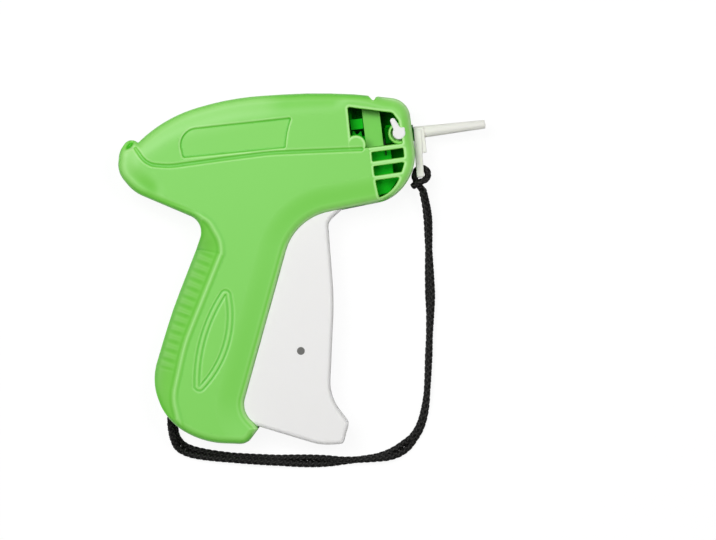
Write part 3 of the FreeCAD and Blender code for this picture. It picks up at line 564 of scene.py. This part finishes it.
# Each corner is x, y and the radius that rounds it.
CASING = [(-93.0, 35.4, 3.8), (-89.5, 32.6, 0), (-76.5, 42.0, 60.5), (-47.5, 47.0, 121.5),
          (-4.0, 44.5, 238.5), (29.0, 36.8, 9.0), (29.4, 3.0, 21.5), (15.0, -5.3, 16.0),
          (-26.0, -8.5, 24.0), (-59.0, -88.0, 9.5), (-52.6, -96.8, 0), (-58.5, -103.0, 6.0),
          (-77.5, -100.0, 36.5), (-92.0, -88.5, 26.0), (-96.5, -70.5, 24.0),
          (-83.5, -41.0, 173.5), (-64.5, -5.5, 7.5), (-94.0, 11.5, 17.5),
          (-100.0, 21.0, 10.5), (-98.0, 30.0, 9.5)]
CLIP_NOTCH = [(10.8, 42.5, 0), (14.0, 37.7, 0.8), (17.3, 42.5, 0)]
RIDGE = [(-96.0, 12.0, 0), (-63.3, -4.4, 8.0), (-58.7, -15.4, 14.0), (-59.6, -19.4, 0.6),
         (-80.0, -56.5, 70.0), (-87.9, -79.0, 20.0), (-86.2, -94.5, 0)]
BACK = [(-66.5, -9.5, 0), (-83.5, -41.0, 173.5), (-96.5, -70.5, 24.0), (-91.0, -92.0, 0)]
LINE = [(-90.9, 30.2, 0), (-86.8, 22.6, 9.0), (-77.0, 20.6, 30.0), (-54.0, 21.0, 60.0),
        (-33.0, 21.1, 60.0), (6.4, 17.9, 0)]
PANEL = [(-72.3, 36.0, 7.5), (-22.0, 35.3, 0.8), (-25.2, 28.0, 40.0), (-26.2, 22.3, 0.8),
         (-71.0, 23.4, 1.2)]
LEAF = [(-57.6, -31.2, 2.6), (-56.0, -62.5, 46.0), (-78.9, -81.2, 2.6), (-76.3, -53.0, 72.0)]
WINDOW = [(2.6, 36.7, 0.6), (16.2, 33.2, 8.0), (21.5, 31.9, 2.5), (23.7, 28.0, 2.0),
          (24.2, 18.2, 0.6), (2.2, 18.2, 0.6)]
WHEEL_COVER = (4.2, 19.9, 4.3)  # x, y and radius of the disc that stands in the window
GRILLE = [[(10.5, 15.9, 0.5), (24.3, 16.1, 0.5), (24.2, 12.2, 0.5), (10.4, 12.0, 0.5)],
          [(10.6, 9.8, 0.5), (24.1, 10.0, 0.5), (22.3, 6.0, 0.5), (10.6, 5.7, 0.5)],
          [(10.7, 3.7, 0.5), (21.3, 3.8, 0.5), (17.2, -2.2, 14.0), (11.4, -3.8, 0.5)]]
TRIGGER_MOUTH = [(5.0, -14.0, 0), (5.0, -2.4, 0), (-22.0, -2.6, 0), (-31.0, -9.0, 0),
                 (-64.5, -86.0, 0), (-62.0, -95.8, 0), (-50.0, -101.0, 0), (-10.0, -101.0, 0)]
TAIL_CREST = [(-99.0, 22.0, 0), (-97.0, 31.0, 5.0), (-76.5, 42.0, 40.0), (-36.0, 46.0, 0)]
FRONT = [(10.0, -6.5, 0), (-26.0, -8.5, 24.0), (-59.0, -88.0, 9.5), (-52.6, -96.8, 0)]
CROWN = [(-90.0, 10.5, 0), (-100.0, 21.0, 10.5), (-97.0, 31.0, 9.0), (-76.5, 42.0, 60.5),
         (-47.5, 47.0, 121.5), (-4.0, 44.5, 0)]


# %% Distances from an outline
FAR = 9.0


def rounded_path(corners, closed=True):
    """Points along straight runs that are joined by tangent arcs.

    An arc of radius r in a corner with half-angle a has its centre r / sin(a) from the
    corner, on the line that halves it, and spans a quarter turn less a on each side.
    """
    places = np.array([corner[:2] for corner in corners], float)
    count = len(places)
    chain = []
    for i, (x, y, radius) in enumerate(corners):
        here = places[i]
        if radius <= 0 or (not closed and i in (0, count - 1)):
            chain.append(here[None])
            continue
        back = places[i - 1] - here
        ahead = places[(i + 1) % count] - here
        back /= np.linalg.norm(back)
        ahead /= np.linalg.norm(ahead)
        half = math.acos(np.clip(back @ ahead, -1, 1)) / 2
        middle = (back + ahead) / np.linalg.norm(back + ahead)
        side = (ahead - back) / np.linalg.norm(ahead - back)
        span = math.pi / 2 - half
        turn = np.linspace(-span, span, max(3, int(span / 0.025) + 2))[:, None]
        centre = here + middle * radius / math.sin(half)
        chain.append(centre + radius * (np.sin(turn) * side - np.cos(turn) * middle))
    path = np.vstack(chain)
    return np.vstack([path, path[:1]]) if closed else path


def nearest(points, path):
    """Distance from each point to a chain of runs, and the length along the chain there.

    The nearest place on a run is the foot of the square dropped on it, kept between
    the run's two ends.
    """
    best = np.full(len(points), np.inf)
    along = np.zeros(len(points))
    passed = 0.0
    for a, b in zip(path[:-1], path[1:]):
        run = b - a
        length = math.hypot(*run)
        if length < 1e-9:
            continue
        away = points - a
        share = np.clip((away @ run) / length ** 2, 0, 1)
        gap = np.hypot(away[:, 0] - share * run[0], away[:, 1] - share * run[1])
        closer = gap < best
        best = np.where(closer, gap, best)
        along = np.where(closer, passed + share * length, along)
        passed += length
    return best, along


def gap_to(points, path):
    """Distance alone from each point to a chain of runs."""
    return nearest(points, path)[0]


def beyond(points, path):
    """Signed distance to a closed outline: below 0 inside it and above 0 outside.

    A point is inside if a line from it to the far right crosses the outline an odd
    number of times.
    """
    gap = gap_to(points, path)
    inside = np.zeros(len(points), bool)
    x, y = points[:, 0], points[:, 1]
    for a, b in zip(path[:-1], path[1:]):
        crosses = (a[1] > y) != (b[1] > y)
        if crosses.any():
            reach = a[0] + (y - a[1]) * (b[0] - a[0]) / (b[1] - a[1] + 1e-30)
            inside ^= crosses & (x < reach)
    return np.where(inside, -gap, gap)


def near_only(measure, points, path, margin):
    """A distance worked out only within a margin of the outline's box, and far elsewhere."""
    low = path.min(axis=0) - margin
    high = path.max(axis=0) + margin
    close = ((points > low) & (points < high)).all(axis=1)
    result = np.full(len(points), FAR)
    if close.any():
        result[close] = measure(points[close], path)
    return result


def ease(value, start, end):
    """0 before start, 1 after end, and 3s^2 - 2s^3 of the share s between them."""
    share = np.clip((value - start) / (end - start), 0, 1)
    return share * share * (3 - 2 * share)


casing_path = rounded_path(CASING)
notch_path = rounded_path(CLIP_NOTCH)
window_path = rounded_path(WINDOW)
grille_paths = [rounded_path(slot) for slot in GRILLE]
mouth_path = rounded_path(TRIGGER_MOUTH)
panel_path = rounded_path(PANEL)
leaf_path = rounded_path(LEAF)
ridge_path = rounded_path(RIDGE, False)
back_zone = np.vstack([ridge_path, [(-130.0, -94.5), (-130.0, 12.0)], ridge_path[:1]])
back_path = rounded_path(BACK, False)
front_path = rounded_path(FRONT, False)
crown_path = rounded_path(CROWN, False)
line_path = rounded_path(LINE, False)
crest_path = rounded_path(TAIL_CREST, False)
print("casing outline of", len(casing_path), "points")

# %% [markdown]
# ## Where there is plastic, and how high it stands
# Two functions describe the half. One says how far a point is past the edge of
# the plastic, the other gives its height. The edge rounding is a quarter circle
# of the distance from the outline. The back falls from the ridge as an arc, and
# its ribs are a row of soft valleys across it. A brush could sculpt them too, but
# a function can be read and its sizes changed one at a time.

# %% Edge and height of the casing
KEEP = 0.45  # strip inside the outline that belongs to the walls
LIP = 0.4  # the same round an opening, as a quarter-round lip
WALL = 2.0
EDGE_ROUND = 3.4
NOSE_ROUND = 1.8  # what the nose adds to it
NOTCH_ROUND = 1.2
OPENING_ROUND = 0.8
OPENING_FALL = 0.5  # share of it that an opening's edge falls by
BACK_SLOPE = math.radians(20.0)
BACK_BEND = 19.5
RIDGE_BEAD = 0.28
RIB_START = 4.0
RIB_SPACING = 4.1
RIB_DEPTH = 0.22
FRONT_FALL = 0.9
FRONT_BEAD = 0.3
CROWN_FALL = 1.0
LINE_DEPTH = 0.42
PANEL_DEPTH = 0.5
LEAF_DEPTH = 0.2
LEAF_GROOVES = (0.4, 2.5)  # how far inside the leaf its two grooves run
POCKET = (-93.2, 31.8)  # dent at the tail
POCKET_WAY = (0.82, 0.57)  # direction of its long side
POCKET_SPREAD = (2.4, 1.3)
POCKET_DEPTH = 3.2
STEP = 0.02  # half the run over which a slope is measured


def holes_beyond(points):
    """Signed distance to the window and the grille, below 0 in an opening."""
    window = near_only(beyond, points, window_path, 6.0)
    cover = np.hypot(points[:, 0] - WHEEL_COVER[0], points[:, 1] - WHEEL_COVER[1])
    window = np.maximum(window, WHEEL_COVER[2] - cover)
    for path in grille_paths:
        window = np.minimum(window, near_only(beyond, points, path, 6.0))
    return window


def past_edge(points):
    """Above 0 where there is no grid: outside the casing, or in an opening of it.

    It is the greatest of the distances past the outline, into the notch and into an
    opening, each with the strip that is left to the walls added.
    """
    outside = beyond(points, casing_path) + KEEP
    notch = KEEP - near_only(beyond, points, notch_path, 6.0)
    return np.maximum(np.maximum(outside, notch), LIP - holes_beyond(points))


def edge_climb(points):
    """How much the distance past the edge grows over two steps, along X and along Y."""
    return np.stack([past_edge(points + (STEP, 0)) - past_edge(points - (STEP, 0)),
                     past_edge(points + (0, STEP)) - past_edge(points - (0, STEP))], axis=1)


def rounding(inset, radius):
    """Drop of a quarter-round edge: r less the height of a circle at that inset."""
    reach = np.clip(radius - inset, 0, radius)
    return radius - np.sqrt(np.maximum(radius ** 2 - reach ** 2, 0))


def back_drop(distance):
    """Drop of the handle's back at a distance past the ridge.

    It leaves the ridge at a slope and bends down as a circle of radius r does: the drop
    is r cos(slope) less the height of the circle at r sin(slope) plus the distance.
    """
    reach = np.clip(BACK_BEND * math.sin(BACK_SLOPE) + distance, 0, 0.96 * BACK_BEND)
    return BACK_BEND * math.cos(BACK_SLOPE) - np.sqrt(BACK_BEND ** 2 - reach ** 2)


def casing_height(points, openings):
    """Height of the right half above the table, in millimetres, at each point.

    It is the thickness less the drop of the rounded edge or of the handle's back, the
    deeper one. Beads are added and ribs, falls and grooves taken off, each as its depth
    times a soft step of a distance.
    """
    x, y = points[:, 0], points[:, 1]
    inset = np.maximum(-beyond(points, casing_path), 0)
    notch = np.maximum(near_only(beyond, points, notch_path, 6.0), 0)
    nose = ease(x, 8.0, 20.0) * ease(y, 6.0, 24.0)
    height = THICKNESS - rounding(inset, EDGE_ROUND + NOSE_ROUND * nose)
    height = np.minimum(height, THICKNESS - rounding(notch, NOTCH_ROUND))

    past_ridge = -beyond(points, back_zone)
    behind = np.where(past_ridge > 0, gap_to(points, ridge_path), 0.0)
    height = np.where(behind > 0, np.minimum(height, THICKNESS - back_drop(behind)), height)
    from_ridge = near_only(gap_to, points, ridge_path, 3.0)
    height += RIDGE_BEAD * (1 - ease(from_ridge, 0.3, 1.9))

    rib_along = nearest(points, back_path)[1]
    rib_phase = (rib_along - RIB_START) / RIB_SPACING
    valley = np.abs(rib_phase - np.round(rib_phase)) * 2
    ribbed = ease(rib_along, 5.0, 10.0) * (1 - ease(rib_along, 58.0, 64.0))
    strength = ease(behind, 0.8, 4.5) * ribbed
    height -= RIB_DEPTH * strength * (1 - ease(valley, 0.0, 0.85))

    front = gap_to(points, front_path)
    height -= FRONT_FALL * (1 - ease(front, 1.5, 12.5))
    height += FRONT_BEAD * (1 - ease(front, 0.9, 2.2)) * ease(-y, 14.0, 24.0)
    crown = gap_to(points, crown_path)
    height -= CROWN_FALL * (1 - ease(crown, 2.0, 11.0)) ** 2

    line = near_only(gap_to, points, line_path, 3.0)
    height -= LINE_DEPTH * (1 - ease(line, 0.45, 1.15))
    panel = near_only(beyond, points, panel_path, 3.0)
    height -= PANEL_DEPTH * (1 - ease(panel, -0.45, 0.25))
    leaf = near_only(beyond, points, leaf_path, 4.0)
    for groove in LEAF_GROOVES:
        height -= LEAF_DEPTH * (1 - ease(np.abs(leaf + groove), 0.1, 0.75))

    from_x, from_y = x - POCKET[0], y - POCKET[1]
    pocket_x = from_x * POCKET_WAY[0] + from_y * POCKET_WAY[1]
    pocket_y = from_y * POCKET_WAY[0] - from_x * POCKET_WAY[1]
    height -= POCKET_DEPTH * np.exp(-(pocket_x / POCKET_SPREAD[0]) ** 2
                                    - (pocket_y / POCKET_SPREAD[1]) ** 2)
    if openings:
        height -= rounding(np.clip(holes_beyond(points), 0, FAR), OPENING_ROUND) * OPENING_FALL
    return height


# %% Grid that follows the edge
GRID_SPACING = 0.36
PULL = 0.72  # share of a cell within which a point is pulled onto the edge


def relief_grid(spacing):
    """Points and faces of a square grid cut to the plastic, its rim on the edge itself.

    A point close to the edge moves onto it, straight down the slope of the distance,
    twice. A cell is kept if all its corners are on or inside the edge, so the rim has
    no steps; where they are all on it, the cell's centre has to lie inside as well.
    """
    low = casing_path.min(axis=0) - spacing
    high = casing_path.max(axis=0) + spacing
    xs = np.arange(low[0], high[0], spacing)
    ys = np.arange(low[1], high[1], spacing)
    grid = np.stack(np.meshgrid(xs, ys, indexing="ij"), axis=-1).reshape(-1, 2)
    edge = past_edge(grid)
    rim = np.abs(edge) < PULL * spacing
    moved = grid[rim]
    for _ in range(2):
        level = past_edge(moved)
        slope = edge_climb(moved) / (2 * STEP)
        steepness = np.maximum((slope ** 2).sum(axis=1), 0.3)
        moved = moved - level[:, None] * slope / steepness[:, None]
    grid[rim] = moved
    inside = (edge < 0) | rim
    cells = grid_faces(len(xs), len(ys), False)
    cells = cells[inside[cells].all(axis=1)]
    all_rim = rim[cells].all(axis=1)
    centre = grid[cells].mean(axis=1)
    level = np.full(len(cells), -1.0)
    level[all_rim] = past_edge(centre[all_rim])
    cells = cells[level < -0.12 * spacing]
    used, cells = np.unique(cells, return_inverse=True)
    return grid[used], cells.reshape(-1, 4)


def rim_loops(cells):
    """Directed edges of the faces that no other face has the other way round."""
    start = cells.reshape(-1)
    end = np.roll(cells, -1, axis=1).reshape(-1)
    size = cells.max() + 1
    forward = start.astype(np.int64) * size + end
    backward = end.astype(np.int64) * size + start
    open_edge = ~np.isin(forward, backward)
    return np.stack([start[open_edge], end[open_edge]], axis=1)


# %% Right half with its walls
TRIGGER_MOUTH_TOP = 23.3  # where the wall ends over the trigger's mouth
NEEDLE_WAY_X = 26.0  # way for the needle's hub through the front wall
NEEDLE_WAY_HALF = 3.4
PROFILE_SHARES = (0.35, 0.7, 0.92, 1.0)


def casing_half(spacing):
    """The outer surface of the right half: relief, rounded rim, wall, the wall's inner side.

    Rings of points are carried along the rim. At an outline they follow the relief, and
    at an opening the lip's quarter circle: its radius times 1 less the root of 1 - share
    squared. The wall ends at the middle plane, but higher over the trigger's mouth, at
    the needle's way and in an opening, and its inner side comes up again.
    """
    flat, cells = relief_grid(spacing)
    top = casing_height(flat, True)
    rim = rim_loops(cells)
    rim_points, rim = np.unique(rim, return_inverse=True)
    rim = rim.reshape(-1, 2)
    foot = flat[rim_points]
    out = edge_climb(foot)
    out /= np.maximum(np.linalg.norm(out, axis=1), 1e-9)[:, None]
    start = top[rim_points]
    hole = holes_beyond(foot) < LIP + 0.1
    bottom = np.where(beyond(foot, mouth_path) < 0, TRIGGER_MOUTH_TOP, MIDDLE)
    hub_way = (foot[:, 0] > NEEDLE_WAY_X) & (np.abs(foot[:, 1] - NEEDLE_Y) < NEEDLE_WAY_HALF)
    bottom = np.where(hub_way, MIDDLE + NEEDLE_WAY_HALF, bottom)

    rings = []
    for share in PROFILE_SHARES:
        edge_foot = foot + out * KEEP * share
        edge_top = casing_height(edge_foot, False)
        lip_foot = foot + out * LIP * share
        lip_top = start - LIP * (1 - math.sqrt(max(1 - share * share, 0)))
        rings.append((np.where(hole[:, None], lip_foot, edge_foot),
                      np.where(hole, lip_top, np.minimum(edge_top, start))))
    last_foot, last_top = rings[-1]
    wall_end = np.where(hole, last_top - WALL, np.minimum(bottom, last_top - 0.2))
    rings.append((last_foot, wall_end))
    rings.append((last_foot - out * WALL, wall_end))
    inner_foot = last_foot - out * (WALL + 0.1)
    inner_top = np.maximum(casing_height(inner_foot, False) - WALL, wall_end + 0.1)
    rings.append((inner_foot, np.where(hole, wall_end + 0.4, inner_top)))
    points = [np.column_stack([flat, top])]
    faces = [cells]
    previous = rim_points
    total = len(flat)
    for ring_foot, ring_top in rings:
        current = total + np.arange(len(rim_points))
        points.append(np.column_stack([ring_foot, ring_top]))
        faces.append(np.stack([previous[rim[:, 1]], previous[rim[:, 0]],
                               current[rim[:, 0]], current[rim[:, 1]]], axis=1))
        previous = current
        total += len(rim_points)
    return np.vstack(points), np.vstack(faces), flat


# %% Painted light and shade for the finish, and the right half itself
# painted highlight on the lips of the window and the grille
LIP_HIGHLIGHT = 0.16
# painted reflection: a pale veil along the crest of the tail
CREST_REFLECTION = 0.07
# painted dark outline along the casing's edge
RIM_SHADE = 0.06
MARK_REACH = 0.7


def paint_edge_light(piece, flat, reach):
    """Store how far each point stands out from, or lies below, its surroundings.

    It is the height of a point less the mean height of four points around it. A raised
    edge has a positive mark, a painted highlight, and a groove a negative one, a painted
    shade. Along the outline, but not at the front and the nose, the positive ones are let
    go and a little is taken off, as a painted dark outline. The lips of the openings get a
    little more as painted highlight, and the crest of the tail as painted reflection.
    """
    around = [(reach, 0), (-reach, 0), (0, reach), (0, -reach)]
    mean = sum(casing_height(flat + step, False) for step in around) / len(around)
    # a raised edge gets a positive mark, painted highlight; a groove a negative one, painted
    # shade
    painted_light = casing_height(flat, False) - mean
    inset = -beyond(flat, casing_path)
    away = ease(gap_to(flat, front_path), 2.0, 5.0) * (1 - ease(flat[:, 0], 12.0, 22.0))
    raised = np.maximum(painted_light, 0)
    # along the outline the painted highlight is let go and a painted dark outline taken off
    painted_light -= raised * away * (1 - ease(inset, 1.2, 2.6))
    painted_light -= RIM_SHADE * away * (1 - ease(inset, 0.5, 1.7))
    # painted highlight on the lips of the openings, faded beside the wheel's cover
    lip_highlight = LIP_HIGHLIGHT * (1 - ease(holes_beyond(flat), LIP + 0.3, 1.5))
    beside_wheel = flat[:, 0] < WHEEL_COVER[0] + WHEEL_COVER[2] + 1.0
    painted_light += np.where(beside_wheel, lip_highlight * ease(flat[:, 1], 17.0, 19.5), lip_highlight)
    # painted reflection, a pale veil, fading away from the crest of the tail
    painted_light += CREST_REFLECTION * (1 - ease(gap_to(flat, crest_path), 1.0, 14.0))
    walls = np.zeros(len(piece.data.vertices) - len(flat))
    store_marks(piece, np.concatenate([painted_light, walls]))
    print("edge marks from", round(painted_light.min(), 3), "to", round(painted_light.max(), 3))


points, faces, flat = casing_half(GRID_SPACING)
casing_right = make_piece("casing_right", points, faces, green, "casing", smooth=42.0)
paint_edge_light(casing_right, flat, MARK_REACH)
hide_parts("housing_right")

# %% [markdown]
# ## The lock's ring
# The white knob turns in a round seat behind the window, and one side of that
# seat shows as a pale crescent. It could be one cylinder cut from another, but a
# turned profile of radius and height has the soft rim in it from the start.

# %% Turned seat of the knob
SEAT_CENTRE = (23.3, 22.8)
SEAT_PROFILE = [(3.9, 17.6), (4.65, 17.6), (4.65, 25.2), (4.5, 25.5), (4.3, 25.6),
                (3.8, 25.6), (3.65, 25.45), (3.58, 25.2), (3.58, 21.6), (2.1, 21.6),
                (2.1, 17.6), (3.9, 17.6)]


def turned(name, profile, centre, finish, body, around=72, smooth=40.0):
    """A profile of (radius, height) carried round a vertical axis.

    A point is at radius times the cosine and the sine of its angle from the centre.
    """
    profile = np.array(profile, float)
    angle = 2 * math.pi * np.arange(around) / around
    x = centre[0] + profile[:, :1] * np.cos(angle)
    y = centre[1] + profile[:, :1] * np.sin(angle)
    z = np.repeat(profile[:, 1:], around, axis=1)
    points = np.stack([x, y, z], axis=-1).reshape(-1, 3)
    faces = grid_faces(len(profile), around, True)
    return make_piece(name, points, faces[:, ::-1], finish, body, smooth)


lock_seat = turned("lock_seat", SEAT_PROFILE, SEAT_CENTRE, seat_green, "casing")

# %% [markdown]
# ## What lies behind the window, and the cover of the needle
# Behind the window and the grille two small decks close the channel of the tags.
# They are flat plates, so an outline is drawn and given a height. The cover is
# soft: a tapered tube, a flange, a tab and a strap that leans back, all blended
# into one another. It could be joined by booleans, but they leave sharp corners.
# Here simple shapes overlap, and a fine voxel remesh, like a mould filled with
# plastic, joins them and softens the inner corners.

# %% Decks behind the window
DECK_LOW = 15.4
DECK_HIGH = 16.2
CHUTE_DECK = [(9.3, -3.0), (16.0, -2.0), (21.0, 3.6), (18.9, 5.6), (18.9, 16.2), (16.1, 16.2),
              (16.1, 17.6), (9.3, 17.6)]
FEED_DECK = [(3.0, 27.0), (8.3, 27.0), (8.3, 31.4), (3.0, 31.4)]


def slab(path, low, high):
    """Points and faces of a flat plate over an outline that runs anticlockwise."""
    count = len(path)
    points = [(x, y, z) for z in (low, high) for x, y in path]
    faces = [list(range(count))[::-1], list(range(count, 2 * count))]
    for i in range(count):
        j = (i + 1) % count
        faces.append([i, j, j + count, i + count])
    return points, faces


chute_deck = make_piece("chute_deck", *slab(CHUTE_DECK, DECK_LOW, DECK_HIGH), deck_green,
                        "casing", 30.0)
feed_deck = make_piece("feed_deck", *slab(FEED_DECK, DECK_LOW, DECK_HIGH), deck_green,
                       "casing", 30.0)

# %% Needle cover
COVER_ROOT_X = 29.9
COVER_TIP_X = 61.3
COVER_VOXEL = 0.24
STRAP_LEAN = -1.1
STRAP_EYE_Y = 6.5


def box_between(low, high, lean=0.0):
    """A box whose lower end, at the least Y, is shifted by the lean along X."""
    (x0, y0, z0), (x1, y1, z1) = low, high
    return slab([(x0 + lean, y0), (x1 + lean, y0), (x1, y1), (x0, y1)], z0, z1)


def taper_along_x(profile, centre_y, around=48):
    """A tapered rod along X on the middle plane, closed at both ends.

    Each (x, radius) pair of the profile is a circle: radius times the cosine of the angle
    along Y and times the sine along Z.
    """
    angle = 2 * math.pi * np.arange(around) / around
    rings = [np.stack([np.full(around, x), centre_y + radius * np.cos(angle),
                       MIDDLE + radius * np.sin(angle)], axis=1) for x, radius in profile]
    faces = grid_faces(len(profile), around, True).tolist()
    faces.append(list(range(around))[::-1])
    faces.append(list(range((len(profile) - 1) * around, len(profile) * around)))
    return np.vstack(rings), faces


def applied(piece, kind, **settings):
    """Work one modifier, with its settings, into the piece's mesh."""
    modifier = piece.modifiers.new(kind.lower(), kind)
    for key, value in settings.items():
        setattr(modifier, key, value)
    seen = bpy.context.evaluated_depsgraph_get()
    mesh = bpy.data.meshes.new_from_object(piece.evaluated_get(seen))
    piece.modifiers.clear()
    piece.data = mesh


cover_parts = [
    taper_along_x([(COVER_ROOT_X, 2.7), (COVER_TIP_X - 0.5, 1.92), (COVER_TIP_X - 0.15, 1.75),
                   (COVER_TIP_X, 1.4)], NEEDLE_Y),
    box_between((COVER_ROOT_X, 19.0, 10.5), (COVER_ROOT_X + 4.4, 24.4, 16.5)),
    box_between((COVER_ROOT_X + 0.2, 13.4, 10.4), (COVER_ROOT_X + 4.6, 22.5, 16.4)),
    box_between((COVER_ROOT_X, 2.9, 10.1), (COVER_ROOT_X + 3.2, 23.4, 16.9), STRAP_LEAN)]
points, faces, _ = joined((np.array(some), some_faces, np.zeros(len(some)))
                          for some, some_faces in cover_parts)
cover_piece = make_piece("cover_shell", points, faces, cover_white, "cover")
applied(cover_piece, "REMESH", mode="VOXEL", voxel_size=COVER_VOXEL * MM)
applied(cover_piece, "SMOOTH", factor=0.5, iterations=6)
for name, profile, centre_y in (
        ("needle bore", [(COVER_ROOT_X - 1, 1.96), (COVER_ROOT_X + 3.5, 1.96),
                         (COVER_ROOT_X + 3.6, 1.3), (COVER_TIP_X - 1.6, 1.3)], NEEDLE_Y),
        ("strap eye", [(COVER_ROOT_X - 3, 2.1), (COVER_ROOT_X + 6, 2.1)], STRAP_EYE_Y)):
    cutter = make_piece(name, *taper_along_x(profile, centre_y, 64), cover_white)
    applied(cover_piece, "BOOLEAN", object=cutter, operation="DIFFERENCE", solver="EXACT")
    bpy.data.objects.remove(cutter)
cover_piece.data.shade_smooth()
cover_piece.data.set_sharp_from_angle(angle=math.radians(40.0))
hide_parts("needle_cover")
print("cover of", len(cover_piece.data.polygons), "faces")

# %% [markdown]
# ## The solids that stay
# The trigger, the knob, the left half and the works inside keep their shapes.
# Each only gets a finish: moulded plastic, yarn, spring steel, or bright steel for
# the pins, the needle and the wires. The needle's hub, the link pin and the inside
# of the left half are coloured darker, as painted shade for the hollows and deep
# places they lie in. A bevel could soften them first, but at this size their edges
# look right as they are.

# %% Finishes of the carried-over solids
# the hub and the link pin take colours with painted shade, the left half painted shade inside
FINISH = {"housing_right": green, "housing_left": left_green, "clip_guide": bright_green,
          "feed_wheel": deck_green, "trigger": white, "needle_lock_knob": white,
          "needle_cover": cover_white, "needle_hub": hub_shade_green, "lanyard_knot": yarn,
          "lanyard_anchor": yarn, "link_pin": pin_shade_steel, "detent_spring": blued,
          "knife_blade": blued, "trigger_link": natural, "drive_lever": natural,
          "slide": natural, "feed_pawl": natural}
for name, node in nodes.items():
    node.data.materials.clear()
    node.data.materials.append(FINISH.get(name, steel))
print("finished", len(nodes), "solids")
